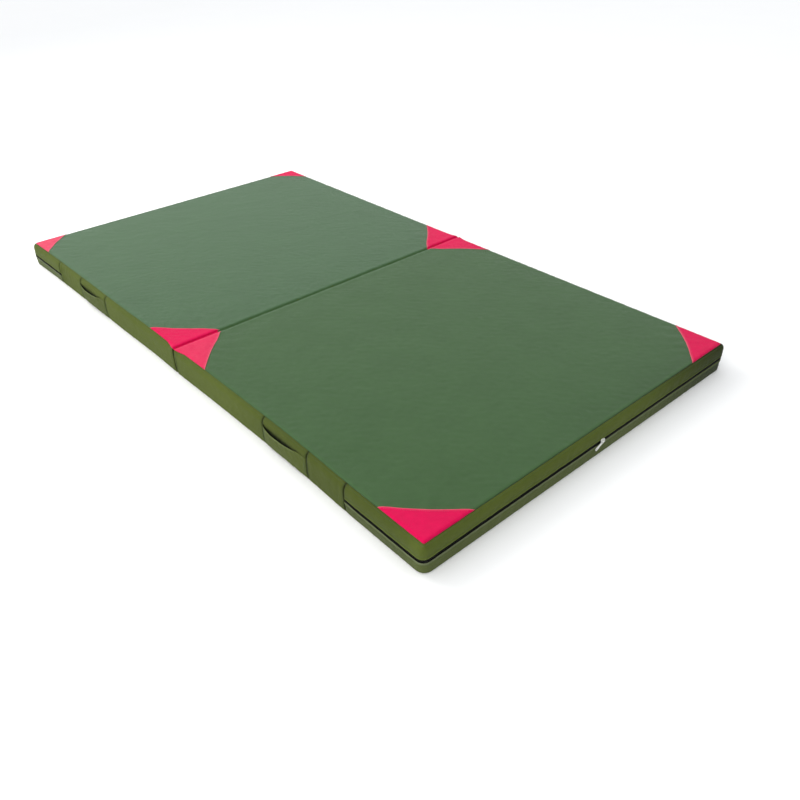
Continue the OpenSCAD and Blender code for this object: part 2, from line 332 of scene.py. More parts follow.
def drape(seed, low_r):
    """Simulates a cover that is cut a little larger than its foam. Gives how far each point moves."""
    place, faces, top, wall = shell()
    rest, out = form(*place, low_r)
    rng = np.random.default_rng(seed)
    start = rest + rng.normal(0, 0.12 * MM, rest.shape) + 0.3 * MM * out
    mesh = bpy.data.meshes.new("drape")
    mesh.from_pydata(start.tolist(), [], faces)
    cover = placed("drape", mesh)
    hold = cover.vertex_groups.new(name="hold")
    for i, value in enumerate(foam_hold(place)):
        hold.add([i], float(value), "REPLACE")
    ease = cover.vertex_groups.new(name="ease")
    ease.add([int(i) for i in wall[:, 1:].ravel()], 1.0, "REPLACE")
    cloth = cover.modifiers.new("cloth", "CLOTH").settings
    cloth.vertex_group_mass = "hold"
    cloth.vertex_group_shrink = "ease"
    cloth.pin_stiffness = 1.2
    cloth.use_pressure = True
    cloth.uniform_pressure_force = 2.0
    cloth.shrink_min = -0.003
    cloth.shrink_max = -0.012
    cloth.bending_stiffness = 0.35
    cloth.effector_weights.gravity = 0
    cover.modifiers["cloth"].collision_settings.use_collision = False
    scene = bpy.context.scene
    for number in range(1, SIM_FRAMES + 1):
        scene.frame_set(number)
    done = cover.evaluated_get(bpy.context.evaluated_depsgraph_get())
    after = np.array([v.co for v in done.data.vertices])
    scene.frame_set(1)
    bpy.data.objects.remove(cover)
    bpy.data.meshes.remove(mesh)
    move = after - rest
    return soft_cap(move[top], CAP["top"]), soft_cap(move[wall], CAP["wall"])


def soft_cap(move, cap):
    """Moves that never get longer than cap."""
    size = np.maximum(np.linalg.norm(move, axis=-1, keepdims=True), 1e-9)
    return move / size * cap * np.tanh(size / cap)


def denser(values, closed):
    """Puts a row between each two, on a smooth curve through the four rows round it."""
    if closed:
        ahead = np.roll(values, -1, axis=0)
        middle = (9 * (values + ahead) - np.roll(values, 1, axis=0) - np.roll(values, -2, axis=0)) / 16
        return np.stack([values, middle], axis=1).reshape(-1, *values.shape[1:])
    padded = np.concatenate([2 * values[:1] - values[1:2], values, 2 * values[-1:] - values[-2:-1]])
    middle = (9 * (padded[1:-2] + padded[2:-1]) - padded[:-3] - padded[3:]) / 16
    made = np.stack([values[:-1], middle], axis=1).reshape(-1, *values.shape[1:])
    return np.concatenate([made, values[-1:]])


def fine_grid(values, closed):
    """The grid with four times as many rows and columns."""
    for _ in range(2):
        values = denser(values, closed)
        values = denser(values.swapaxes(0, 1), False).swapaxes(0, 1)
    return values


def sampled(values, u, v, closed):
    """The grid's value at places between its rows and columns."""
    rows, columns = values.shape[:2]
    u = np.mod(u, rows) if closed else np.clip(u, 0, rows - 1.001)
    v = np.clip(v, 0, columns - 1.001)
    i, j = u.astype(int), v.astype(int)
    a, b = (u - i)[..., None], (v - j)[..., None]
    ahead = (i + 1) % rows
    near = values[i, j] * (1 - b) + values[i, j + 1] * b
    far = values[ahead, j] * (1 - b) + values[ahead, j + 1] * b
    return near * (1 - a) + far * a


class Cover:
    """A panel's draped cover, as a surface that any piece can be cut from."""

    def __init__(self, side, seed):
        self.side = side
        self.rng = np.random.default_rng(seed)
        self.low_r = OUTER_R_LOW[side]
        top, wall = drape(seed, self.low_r)
        self.cells = np.array(top.shape[:2]) - 1
        self.top_move = fine_grid(top, False)
        self.wall_move = fine_grid(wall, True)
        self.waves = self.rng.uniform([0, 60, 0], [2 * math.pi, 190, 2 * math.pi], (9, 3))
        self.patch_legs = {END: patch_leg(f"{side}_patch_outer_front"),
                           START: patch_leg(f"{side}_patch_fold_front")}

    def name(self, where, rest):
        """A piece's name in the frame. A half turn brings the drawn front to the left panel's back."""
        other = {"front": "back", "back": "front"}
        return f"{self.side}_{where if self.side == 'right' else other[where]}_{rest}"

    def ripple(self, x, y):
        """Slow unevenness of canvas over foam, about 1 at most."""
        total = 0
        for way, length, phase in self.waves:
            across = (x * math.cos(way) + y * math.sin(way)) / (length * MM)
            total = total + np.cos(2 * math.pi * across + phase)
        return total / len(self.waves)

    def pull_lines(self, x, y):
        """Tension creases that run in from each corner patch's folded edge."""
        total = 0
        for corner_x, amount in ((END, 1.0), (START, 0.7)):
            for side_y in (-1, 1):
                a = np.abs(corner_x - x)
                b = HALF - side_y * y
                inward = (a + b - self.patch_legs[corner_x]) / math.sqrt(2)
                across = (a - b) / math.sqrt(2)
                fade = smooth(inward / (10 * MM)) * np.exp(-np.maximum(inward, 0) / PULL_FADE)
                wave = np.cos(across / PULL_WAVE + 3 * self.ripple(x, y) + side_y + amount)
                total = total + amount * fade * wave * bell(across, PULL_SPREAD)
        return total

    def bowed(self, points):
        """Gives points the slight bow of the mat's front edge."""
        front = -1 if self.side == "right" else 1
        share = (1 + front * points[..., 1] / HALF) / 2
        marks = BOW[self.side]
        stray = sum(np.interp(points[..., 0] + k * 30 * MM, *zip(*marks)) for k in range(-2, 3)) / 5
        points[..., 1] += front * stray * MM * share
        return points

    def top(self, x, y):
        """The top sheet's surface at places seen from above."""
        points, _ = form(x, y, np.full_like(x, HEIGHT), self.low_r)
        u = (x - START) / LENGTH * self.cells[0] * 4
        v = (y + HALF) / WIDTH * self.cells[1] * 4
        points = points + sampled(self.top_move, u, v, False)
        depth = np.minimum(np.minimum(END - x, x - START), HALF - np.abs(y))
        wavy = RIPPLE_TOP * self.ripple(x, y) + PULL_DEEP * self.pull_lines(x, y)
        points[..., 2] += wavy * smooth(depth / (12 * MM))
        points[..., 2] = TOP_LIMIT - soft_gap(TOP_LIMIT - points[..., 2])
        return self.bowed(points)

    def wall(self, s, z):
        """The walls' surface, at distances round the panel and heights on its sharp box."""
        x, y = box_place(s)
        lift = self.zip_drift(s) * np.sin(math.pi * np.clip(z / HEIGHT, 0, 1)) ** 1.2
        points, out = form(x, y, z, self.low_r)
        points[..., 2] += lift
        along, up = self.cells
        marks = np.cumsum([0, along, up, along, up])
        u = np.interp(np.mod(s, ROUND), CORNERS, marks) * 4
        v = np.interp(-z, -SIM_ROWS, np.arange(len(SIM_ROWS))) * 4
        points = points + sampled(self.wall_move, u, v, True)
        return self.bowed(points - out * self.wall_dent(s, z)[..., None])

    def zip_drift(self, s):
        """How far the zip strays from its level, as marks (distance round, mm): it was sewn on by eye."""
        corner, other = LENGTH, LENGTH + WIDTH
        if self.side == "right":
            marks = [(at_front(ZIP_FRONT) - 0.06, 0), (at_front(ZIP_FRONT), -2.2), (corner - 0.03, -1.6),
                     (corner + 0.02, 0.0), (corner + 0.12, 0.9), (corner + 0.3, 1.1),
                     (corner + 0.5, 0.0), (other, 0)]
        else:
            marks = [(other - 0.01, 0), (other + 0.04, -3.5),
                     (at_back(ZIP_BACK), -6.0), (at_back(ZIP_BACK) + 0.09, 0)]
        return MM * np.interp(s, [a for a, _ in marks], [b for _, b in marks])

    def wall_dent(self, s, z):
        """Vertical seams, the hollows behind the handles and the gathers beside the zip's ends."""
        dent = 0
        for seam in wall_seams():
            by_fold = seam in (at_front(CORNER_END), at_back(CORNER_END))
            dip = FOLD_SEAM_DIP if by_fold else UPRIGHT_DIP
            below = 0.4 + 0.6 * smooth((HEIGHT - z) / (14 * MM))
            dent = dent + dip * below * np.exp(-np.abs(s - seam) / UPRIGHT_W)
        for first in (at_front(HANDLE_IN), at_back(HANDLE_OUT)):
            hollow = first + (HANDLE_OUT - HANDLE_IN) * HOLLOW_SHARE
            dent = dent + HOLLOW_DEEP * bell(s - hollow, HOLLOW_LONG) * bell(z - HOLLOW_Z, HOLLOW_TALL)
        dent = dent + GATHER_DEEP * self.gathers(s, z)
        free = smooth(z / (20 * MM)) * smooth((HEIGHT - z) / (12 * MM))
        return dent - RIPPLE_WALL * self.ripple(s * 1.6, z * 2 + 1) * free

    def gathers(self, s, z):
        """Upright folds beyond the zip's end seams, strongest at the back one. About 1 at most."""
        total = 0
        for seam, way, amount in ((at_front(ZIP_FRONT), -1, 0.2), (at_back(ZIP_BACK), 1, 1.0)):
            away = (s - seam) * way
            fade = smooth(away / (8 * MM)) * np.exp(-np.maximum(away, 0) / GATHER_FADE)
            wave = np.sin(away / GATHER_WAVE + 25 * z + 2 * self.ripple(s, z))
            total = total + amount * fade * wave * smooth(z / (12 * MM)) * smooth((76 * MM - z) / (14 * MM))
        return total

    def painted_shade(self, s, z):
        """Dark colour for painted shade, 0 to 1: in the seams, the gap at the fold, the gathers, the end
        wall's top seam and behind the handles, and on the right panel towards the end wall's far end and
        along its front wall.
        """
        dark = 0
        for seam in wall_seams()[1:-1]:
            dark = dark + SEAM_PAINTED_SHADE * np.exp(-np.abs(s - seam) / SEAM_PAINTED_SHADE_W)
        dark = dark + GATHER_PAINTED_SHADE * np.maximum(self.gathers(s, z), 0)
        for corner in (0, BACK_END):
            along = np.mod(s - corner + LENGTH, ROUND) - LENGTH
            inside = -along if corner == 0 else along
            fade = np.exp(-np.maximum(inside, 0) / GAP_FADE)
            dark = dark + MOST_PAINTED_SHADE * smooth(inside / (2.5 * MM) + 1) * fade
        on_end = smooth((s - LENGTH) / (60 * MM)) * (s < LENGTH + WIDTH)
        dark = dark + EDGE_PAINTED_SHADE * bell(HEIGHT - z, 1.8 * MM) * on_end
        # painted shade where the light falls off: towards the end wall's far end and along the front wall
        if self.side == "right":
            far = smooth((s - LENGTH - 0.64) / 0.5) * smooth((LENGTH + WIDTH + 0.25 - s) / 0.2)
            dark = dark + SHADY_END * far
            dark = dark + SHADY_FRONT * smooth((s - 0.25) / 0.3) * smooth((LENGTH - s) / 0.1)
        for middle in (at_front(HANDLE_MIDDLE), at_back(HANDLE_MIDDLE)):
            opened = band_shape((s - middle) / (HANDLE_OUT - HANDLE_IN) * 2)
            edge = BAND_HIGH + BAND_LIFT - BAND_SAG * opened
            dark = dark + POCKET_PAINTED_SHADE * smooth(opened * 4) * smooth((edge + 2 * MM - z) / (5 * MM))
        return np.clip(dark, 0, MOST_PAINTED_SHADE)

    def bottom(self, x, y):
        """The bottom sheet's surface at places seen from above."""
        return self.bowed(form(x, y, np.zeros_like(x), self.low_r)[0])

    def out(self, s, z):
        """The level way out of the wall."""
        return form(*box_place(s), z, self.low_r)[1]


def soft_gap(gap):
    """Keeps a gap open: it nears zero and never passes it."""
    small = 0.5 * MM
    return np.where(gap > small, gap, small * np.exp(np.minimum(gap / small - 1, 0)))


def wall_seams():
    """The upright seams, as distances round the panel."""
    return [at_front(CORNER_END), at_front(HANDLE_IN), at_front(HANDLE_OUT), at_front(ZIP_FRONT),
            at_back(ZIP_BACK), at_back(HANDLE_OUT), at_back(HANDLE_IN), at_back(CORNER_END)]


# ------------------------------------------------------------------ mesh building

class Shape:
    """Faces gathered for one mesh. Each point has its place on the flat cloth and a value of wear and
    painted light.
    """

    def __init__(self):
        self.points, self.faces, self.finish, self.flat, self.wear_and_painted_light = [], [], [], [], []
        self.count = 0

    def add(self, points, faces, flat=None, wear_and_painted_light=None, finish=0):
        points = np.asarray(points, float).reshape(-1, 3)
        flat = points[:, :2] if flat is None else np.asarray(flat, float).reshape(-1, 2)
        wear_and_painted_light = np.zeros(len(points)) if wear_and_painted_light is None else np.asarray(wear_and_painted_light, float).ravel()
        self.points.append(points)
        self.flat.append(flat)
        self.wear_and_painted_light.append(wear_and_painted_light)
        self.faces += [[i + self.count for i in face] for face in faces]
        self.finish += [finish] * len(faces)
        self.count += len(points)
        return self

    def grid(self, points, flat=None, wear_and_painted_light=None, finish=0, closed=False, flip=False):
        index = np.arange(points.shape[0] * points.shape[1]).reshape(points.shape[:2])
        faces = quads(index, closed)
        if flip:
            faces = [face[::-1] for face in faces]
        return self.add(points, faces, flat, wear_and_painted_light, finish)

    def made(self, name, materials, turned=False):
        """The shape as an object, given the half turn of the left panel if turned."""
        points = np.concatenate(self.points)
        if turned:
            points = points * (-1, -1, 1)
        mesh = bpy.data.meshes.new(name)
        mesh.from_pydata(points.tolist(), [], self.faces)
        for material in materials:
            mesh.materials.append(material)
        mesh.polygons.foreach_set("material_index", self.finish)
        mesh.polygons.foreach_set("use_smooth", [True] * len(mesh.polygons))
        corner = np.zeros(len(mesh.loops), np.int32)
        mesh.loops.foreach_get("vertex_index", corner)
        flat = np.concatenate(self.flat)[corner]
        mesh.uv_layers.new(name="cloth").data.foreach_set("uv", flat.ravel())
        mesh.attributes.new("wear_and_painted_light", "FLOAT", "POINT").data.foreach_set("value", np.concatenate(self.wear_and_painted_light))
        return placed(name, mesh)


def placed(name, data):
    """A new object in the scene."""
    made = bpy.data.objects.new(name, data)
    bpy.context.scene.collection.objects.link(made)
    return made


def thicken(piece, thickness=CLOTH):
    """Gives a sheet its thickness, inward from the side that shows."""
    solid = piece.modifiers.new("thickness", "SOLIDIFY")
    solid.thickness = thickness
    solid.offset = -1
    solid.use_even_offset = False
    return piece


def applied(piece):
    """The piece with its modifiers made part of its mesh."""
    done = piece.evaluated_get(bpy.context.evaluated_depsgraph_get())
    mesh = bpy.data.meshes.new_from_object(done)
    piece.modifiers.clear()
    old = piece.data
    piece.data = mesh
    bpy.data.meshes.remove(old)
    mesh.name = piece.name
    return piece


def crossed(a, b):
    n = np.cross(a, b)
    return n / np.maximum(np.linalg.norm(n, axis=-1, keepdims=True), 1e-12)


STITCH_PITCH = 4.2 * MM
STITCH_WIDTH = 0.75 * MM
STITCH_LONG = 0.74         # its length as a share of the pitch
STITCH_SINK = 0.25 * MM    # how far its ends go into the cloth
STITCH_RISE = 0.42 * MM
STITCH_CROWN = 0.32        # half its width on top, as a share of the whole width
STITCH_RINGS = (0.22, 0.78)


def stitch_run(shape, points, normals, pitch=STITCH_PITCH, finish=0):
    """A row of thread stitches along a line of points. Each is a small closed lozenge."""
    along = np.concatenate([[0], np.cumsum(np.linalg.norm(np.diff(points, axis=0), axis=1))])
    count = int(along[-1] / pitch)
    if count < 1:
        return
    start = (along[-1] - count * pitch) / 2 + pitch * np.arange(count) + (1 - STITCH_LONG) / 2 * pitch
    stop = start + STITCH_LONG * pitch

    def at(values, place):
        return np.stack([np.interp(place, along, values[:, k]) for k in range(3)], axis=-1)

    a, b = at(points, start), at(points, stop)
    way = (b - a) / np.maximum(np.linalg.norm(b - a, axis=1, keepdims=True), 1e-9)
    up = at(normals, (start + stop) / 2)
    side = crossed(up, way)
    low, high = -STITCH_SINK, STITCH_RISE
    foot, crown = side * STITCH_WIDTH / 2, side * STITCH_WIDTH * STITCH_CROWN
    rings = []
    for share in STITCH_RINGS:
        centre = a + (b - a) * share
        rings += [centre + foot + up * low, centre + crown + up * high,
                  centre - crown + up * high, centre - foot + up * low]
    made = np.stack([a + up * low, *rings, b + up * low], axis=1)
    faces = []
    one = [[0, 1 + (k + 1) % 4, 1 + k] for k in range(4)]
    one += [[1 + k, 1 + (k + 1) % 4, 5 + (k + 1) % 4, 5 + k] for k in range(4)]
    one += [[9, 5 + k, 5 + (k + 1) % 4] for k in range(4)]
    for n in range(count):
        faces += [[i + 10 * n for i in face] for face in one]
    shape.add(made, faces, finish=finish)


def surface_normals(surface, u, v, step=1.5 * MM):
    """The outward normals of a surface at places u, v."""
    return crossed(surface(u + step, v) - surface(u - step, v), surface(u, v + step) - surface(u, v - step))


def surface_run(shape, surface, u, v, lift=0.0, **kind):
    """Stitches along a line drawn on a surface."""
    normals = surface_normals(surface, u, v)
    stitch_run(shape, surface(u, v) + normals * lift, normals, **kind)


# ------------------------------------------------------------------ materials

def node(tree, kind, **values):
    made = tree.nodes.new(kind)
    for key, value in values.items():
        if key in made.inputs:
            made.inputs[key].default_value = value
        else:
            setattr(made, key, value)
    return made


def maths(tree, operation, a, b=None, c=None):
    made = tree.nodes.new("ShaderNodeMath")
    made.operation = operation
    for socket, value in zip(made.inputs, (a, b, c)):
        if value is None:
            continue
        if isinstance(value, (int, float)):
            socket.default_value = value
        else:
            tree.links.new(value, socket)
    return made.outputs[0]


def blank(name):
    material = bpy.data.materials.new(name)
    material.use_nodes = True
    return material, material.node_tree, material.node_tree.nodes["Principled BSDF"]


def scaled(tree, vector, scale):
    made = node(tree, "ShaderNodeVectorMath", operation="MULTIPLY")
    tree.links.new(vector, made.inputs[0])
    made.inputs[1].default_value = scale
    return made.outputs[0]


def noise(tree, vector, scale, detail=3.0, roughness=0.55):
    made = node(tree, "ShaderNodeTexNoise", Scale=scale, Detail=detail, Roughness=roughness)
    tree.links.new(vector, made.inputs["Vector"])
    return made.outputs["Fac"]


def mixed(tree, factor, a, b, blend="MIX"):
    made = tree.nodes.new("ShaderNodeMix")
    made.data_type = "RGBA"
    made.blend_type = blend
    for socket, value in ((made.inputs["Factor"], factor), (made.inputs[6], a), (made.inputs[7], b)):
        if isinstance(value, (int, float, tuple)):
            socket.default_value = value
        else:
            tree.links.new(value, socket)
    return made.outputs[2]


def surfaced(tree, shader, base, rough, height, strength, distance):
    """Gives a material its colour, its roughness and its fine relief."""
    tree.links.new(base, shader.inputs["Base Color"])
    tree.links.new(rough, shader.inputs["Roughness"])
    bump = node(tree, "ShaderNodeBump", Strength=strength, Distance=distance)
    tree.links.new(height, bump.inputs["Height"])
    tree.links.new(bump.outputs[0], shader.inputs["Normal"])


def shade(colour, by):
    return tuple(min(1.0, c * by) for c in colour[:3]) + (1.0,)


# A near-black for painted shade
PAINTED_SHADE_COLOUR = (0.006, 0.008, 0.003, 1)


def canvas(name, colour, thread=0.9 * MM, sheen=0.3, relief=0.2 * MM, worn_and_highlit=None):
    """Plain-woven canvas: crossing threads, slubs along both, slow mottling, paler edges where the wear
    value is above zero (real wear on some pieces, painted highlight and sheen on others), and painted shade
    where it is below zero.
    """
    material, tree, shader = blank(name)
    colour = (*colour, 1.0)
    flat = node(tree, "ShaderNodeUVMap", uv_map="cloth").outputs[0]
    parts = node(tree, "ShaderNodeSeparateXYZ")
    tree.links.new(flat, parts.inputs[0])
    turn = math.pi / thread
    warp = maths(tree, "SINE", maths(tree, "MULTIPLY", parts.outputs[0], turn))
    weft = maths(tree, "SINE", maths(tree, "MULTIPLY", parts.outputs[1], turn))
    weave = maths(tree, "MULTIPLY", warp, weft)
    slub_a = noise(tree, scaled(tree, flat, (900, 45, 1)), 1.0, 2.0)
    slub_b = noise(tree, scaled(tree, flat, (45, 900, 1)), 1.0, 2.0)
    slub = maths(tree, "ADD", slub_a, slub_b)
    mottle = noise(tree, flat, 7.0, 4.0, 0.6)
    cloudy = noise(tree, flat, 46.0, 3.0, 0.6)
    tone = maths(tree, "MULTIPLY_ADD", slub, 0.34, maths(tree, "MULTIPLY", mottle, 0.36))
    tone = maths(tree, "ADD", tone, maths(tree, "MULTIPLY", cloudy, 0.26))
    tone = maths(tree, "ADD", tone, maths(tree, "MULTIPLY", weave, 0.05))
    spread = node(tree, "ShaderNodeMapRange")
    spread.inputs["From Min"].default_value = 0.42
    spread.inputs["From Max"].default_value = 0.88
    tree.links.new(tone, spread.inputs["Value"])
    base = mixed(tree, spread.outputs[0], shade(colour, 0.86), shade(colour, 1.14))
    wear_and_painted_light = node(tree, "ShaderNodeAttribute", attribute_name="wear_and_painted_light").outputs["Fac"]
    # paler where the value is above zero: wear, and painted highlight and sheen
    patchy = maths(tree, "MULTIPLY_ADD", cloudy, 0.9, 0.2)
    wear_and_highlight = maths(tree, "MULTIPLY", maths(tree, "MAXIMUM", wear_and_painted_light, 0.0), patchy)
    base = mixed(tree, wear_and_highlight, base, worn_and_highlit or shade(colour, 1.45))
    # painted shade where the value is below zero
    painted_shade_share = maths(tree, "MAXIMUM", maths(tree, "MULTIPLY", wear_and_painted_light, -1.0), 0.0)
    base = mixed(tree, painted_shade_share, base, PAINTED_SHADE_COLOUR)
    rough = maths(tree, "MULTIPLY_ADD", slub_a, 0.16, 0.74)
    shader.inputs["Sheen Weight"].default_value = sheen
    shader.inputs["Sheen Roughness"].default_value = 0.4
    shader.inputs["Sheen Tint"].default_value = (0.9, 1.0, 0.96, 1)
    shader.inputs["Specular IOR Level"].default_value = 0.08
    surfaced(tree, shader, base, rough, maths(tree, "MULTIPLY_ADD", slub, 0.7, weave), 0.7, relief)
    return material


def thread(name, colour):
    """Twisted polyester thread, a little glossier than the canvas."""
    material, tree, shader = blank(name)
    place = node(tree, "ShaderNodeTexCoord").outputs["Object"]
    twist = noise(tree, place, 900.0, 2.0)
    base = mixed(tree, twist, shade(colour, 0.7), shade(colour, 1.3))
    surfaced(tree, shader, base, maths(tree, "MULTIPLY_ADD", twist, 0.2, 0.45), twist, 0.5, 0.1 * MM)
    return material


def zip_tape_cloth(name):
    """Herringbone tape, nearly black."""
    material, tree, shader = blank(name)
    flat = node(tree, "ShaderNodeUVMap", uv_map="cloth").outputs[0]
    parts = node(tree, "ShaderNodeSeparateXYZ")
    tree.links.new(flat, parts.inputs[0])
    zigzag = maths(tree, "PINGPONG", parts.outputs[1], 2.2 * MM)
    slanted = maths(tree, "ADD", parts.outputs[0], zigzag)
    ribs = maths(tree, "SINE", maths(tree, "MULTIPLY", slanted, 5200.0))
    dust = noise(tree, flat, 120.0, 3.0)
    base = mixed(tree, dust, (0.001, 0.001, 0.001, 1), (0.004, 0.004, 0.004, 1))
    base = mixed(tree, maths(tree, "MULTIPLY_ADD", ribs, 0.2, 0.2), base, (0.009, 0.009, 0.009, 1))
    shader.inputs["Specular IOR Level"].default_value = 0.03
    surfaced(tree, shader, base, maths(tree, "MULTIPLY_ADD", dust, 0.2, 0.65), ribs, 0.6, 0.12 * MM)
    return material


def nylon(name):
    """Moulded black zip teeth, dull with dust in their low places."""
    material, tree, shader = blank(name)
    place = node(tree, "ShaderNodeTexCoord").outputs["Object"]
    dust = noise(tree, place, 160.0, 4.0)
    base = mixed(tree, dust, (0.001, 0.001, 0.001, 1), (0.006, 0.006, 0.006, 1))
    shader.inputs["Specular IOR Level"].default_value = 0.1
    grain = noise(tree, place, 1400.0, 2.0)
    surfaced(tree, shader, base, maths(tree, "MULTIPLY_ADD", dust, 0.3, 0.4), grain, 0.3, 0.08 * MM)
    return material


def cast_metal(name):
    """Pale plated zinc casting with fine rubbing marks."""
    material, tree, shader = blank(name)
    place = node(tree, "ShaderNodeTexCoord").outputs["Object"]
    marks = noise(tree, scaled(tree, place, (1, 0.15, 1)), 1800.0, 3.0)
    tarnish = noise(tree, place, 240.0, 4.0)
    base = mixed(tree, tarnish, (0.66, 0.67, 0.64, 1), (0.9, 0.9, 0.87, 1))
    shader.inputs["Metallic"].default_value = 0.6
    surfaced(tree, shader, base, maths(tree, "MULTIPLY_ADD", marks, 0.3, 0.3), marks, 0.25, 0.05 * MM)
    return material


def foam(name, low, high, cell, chips=False):
    """Open-cell foam, or foam bonded from chips of several colours."""
    material, tree, shader = blank(name)
    place = node(tree, "ShaderNodeTexCoord").outputs["Object"]
    pores = node(tree, "ShaderNodeTexVoronoi", Scale=1 / cell)
    tree.links.new(place, pores.inputs["Vector"])
    base = mixed(tree, noise(tree, place, 9.0, 4.0), (*low, 1), (*high, 1))
    if chips:
        chip = node(tree, "ShaderNodeTexVoronoi", Scale=85.0)
        tree.links.new(place, chip.inputs["Vector"])
        grey = node(tree, "ShaderNodeHueSaturation", Saturation=0.35, Value=0.9)
        tree.links.new(chip.outputs["Color"], grey.inputs["Color"])
        base = mixed(tree, 0.45, base, grey.outputs[0])
    depth = pores.outputs["Distance"]
    # painted shade in the pores
    base = mixed(tree, maths(tree, "MULTIPLY", depth, 0.6), base, shade(low, 0.7))
    surfaced(tree, shader, base, maths(tree, "MULTIPLY_ADD", depth, 0.1, 0.85), depth, 0.8, cell * 0.4)
    return material


GREEN = (0.05, 0.106, 0.045)
SHADED_GREEN = (0.046, 0.098, 0.035)
OLIVE = (0.08, 0.105, 0.018)
GREY_OLIVE = (0.083, 0.104, 0.03)
PINK = (0.64, 0.002, 0.072)
BAND_OLIVE = (0.068, 0.088, 0.015)

# The right panel's top is a darker copy of the same canvas: painted shade, as the light falls off towards
# the right
TOP = {"left": canvas("canvas_top_left", GREEN, sheen=0.34),
       "right": canvas("canvas_top_right", SHADED_GREEN, sheen=0.28)}
# The wall's paler colour is wear at its foot and a painted highlight along the hem over the zip. The paler
# colours of the strip, patch and handle canvases are painted highlights along the hem under the zip, the
# patches' and handles' folded edges, and painted sheen on some patches.
WALL = canvas("canvas_wall", OLIVE, sheen=0.05)
STRIP = canvas("canvas_strip", GREY_OLIVE, sheen=0.1, worn_and_highlit=(0.18, 0.205, 0.12, 1))
PATCH = canvas("canvas_patch", PINK, sheen=0.12, worn_and_highlit=(0.75, 0.28, 0.3, 1))
BAND = canvas("canvas_handle", BAND_OLIVE, thread=1.1 * MM, sheen=0.08, worn_and_highlit=(0.17, 0.21, 0.075, 1))
GREEN_THREAD = thread("thread_green", (0.05, 0.085, 0.03))
PINK_THREAD = thread("thread_pink", (0.6, 0.07, 0.14))
TAPE = zip_tape_cloth("zip_tape")
TEETH = nylon("zip_teeth")
METAL = cast_metal("zip_metal")
FOAM_FIRM = foam("foam_firm", (0.78, 0.77, 0.7), (0.9, 0.89, 0.83), 1.1 * MM)
FOAM_CORE = foam("foam_core", (0.5, 0.45, 0.4), (0.68, 0.62, 0.56), 2.2 * MM, chips=True)


# ------------------------------------------------------------------ the sewn pieces

def dress(piece, body, slot, *nodes):
    """Puts a rigid piece on its body and in place of its nodes. Its slot is not used."""
    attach(piece, body)
    if nodes:
        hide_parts(*nodes)


def finish_sheet(cover, shape, cad, slot, material,
                 thickness=CLOTH, kind="cloth"):
    """Makes a sewn sheet from its shape, in place of the CAD node of that name."""
    piece = thicken(shape.made(f"{cad}_{kind}", [material], cover.side == "left"), thickness)
    dress(piece, f"{cover.side}_panel", slot, cad)


def finish_thread(cover, shape, name, material, slot):
    """Makes a piece of the stitches in a shape."""
    piece = shape.made(f"{cover.side}_{name}_stitching", [material], cover.side == "left")
    dress(piece, f"{cover.side}_panel", slot)


def top_sheet(cover):
    """The top sheet, paler along its rim from wear, with painted shade at its seam and, on the right panel,
    towards its end.
    """
    x, y = np.meshgrid(lines(START, END), lines(-HALF, HALF), indexing="ij")
    depth = np.minimum(np.minimum(END - x, x - START), HALF - np.abs(y))
    from_sides = np.minimum(END - x, HALF - np.abs(y))
    # paler along the rim from wear; darker at the seam along the sides: painted shade
    wear_and_painted_light = 0.3 * bell(depth - 5 * MM, 5 * MM) - 0.45 * bell(from_sides, 1.5 * MM)
    if cover.side == "right":
        # painted shade on the right panel towards its end
        wear_and_painted_light = wear_and_painted_light - 0.22 * np.exp((x - END) / (60 * MM)) * smooth((y + 0.3) / 0.7)
    shape = Shape().grid(cover.top(x, y), np.stack([x, y], axis=-1), wear_and_painted_light)
    finish_sheet(cover, shape, f"{cover.side}_top_sheet", "canvas_top", TOP[cover.side])


def bottom_sheet(cover):
    x, y = np.meshgrid(lines(START, END, 20 * MM), lines(-HALF, HALF, 20 * MM), indexing="ij")
    shape = Shape().grid(cover.bottom(x, y), np.stack([x, y], axis=-1), flip=True)
    finish_sheet(cover, shape, f"{cover.side}_bottom_sheet", "canvas_strip", STRIP)


def wall_piece(cover, cad, low, high, step=STEP):
    """A straight piece of wall, from the top seam to the bottom one."""
    s, z = np.meshgrid(lines(low, high, step), lines(0, HEIGHT, 5 * MM), indexing="ij")
    # paler at the foot from wear, less the painted shade
    wear_and_painted_light = 0.5 * bell(z, 4 * MM) - cover.painted_shade(s, z)
    shape = Shape().grid(cover.wall(s, z), np.stack([s, z], axis=-1), wear_and_painted_light)
    finish_sheet(cover, shape, cad, "canvas_wall", WALL)


HEM_ROLL = {True: 0.5 * MM, False: 0.9 * MM}    # how far the folded edge above or below the zip stands out
HEM_STITCH = 7 * MM        # its stitches, from the opening
HEM_TURN = [(0.3, 0.7), (0.1, 1.8), (-1.2, 2.6), (-3.5, 2.9)]   # the fold: mm past the edge, mm in
HEM_TURN_STEP = 1.4 * MM   # cloth between two of those
HEM_ROWS = np.array([0, 1, 2.2, 3.6, 5, 6, 7, 8, 10, 13]) * MM   # lines beside the opening


def hem_swell(away, upper):
    """How far the wall stands out near the zip's opening, where its edge is folded under and sewn."""
    return HEM_ROLL[upper] * bell(away - 2.4 * MM, 2.8 * MM) - 0.5 * MM * bell(away - HEM_STITCH, 1.3 * MM)


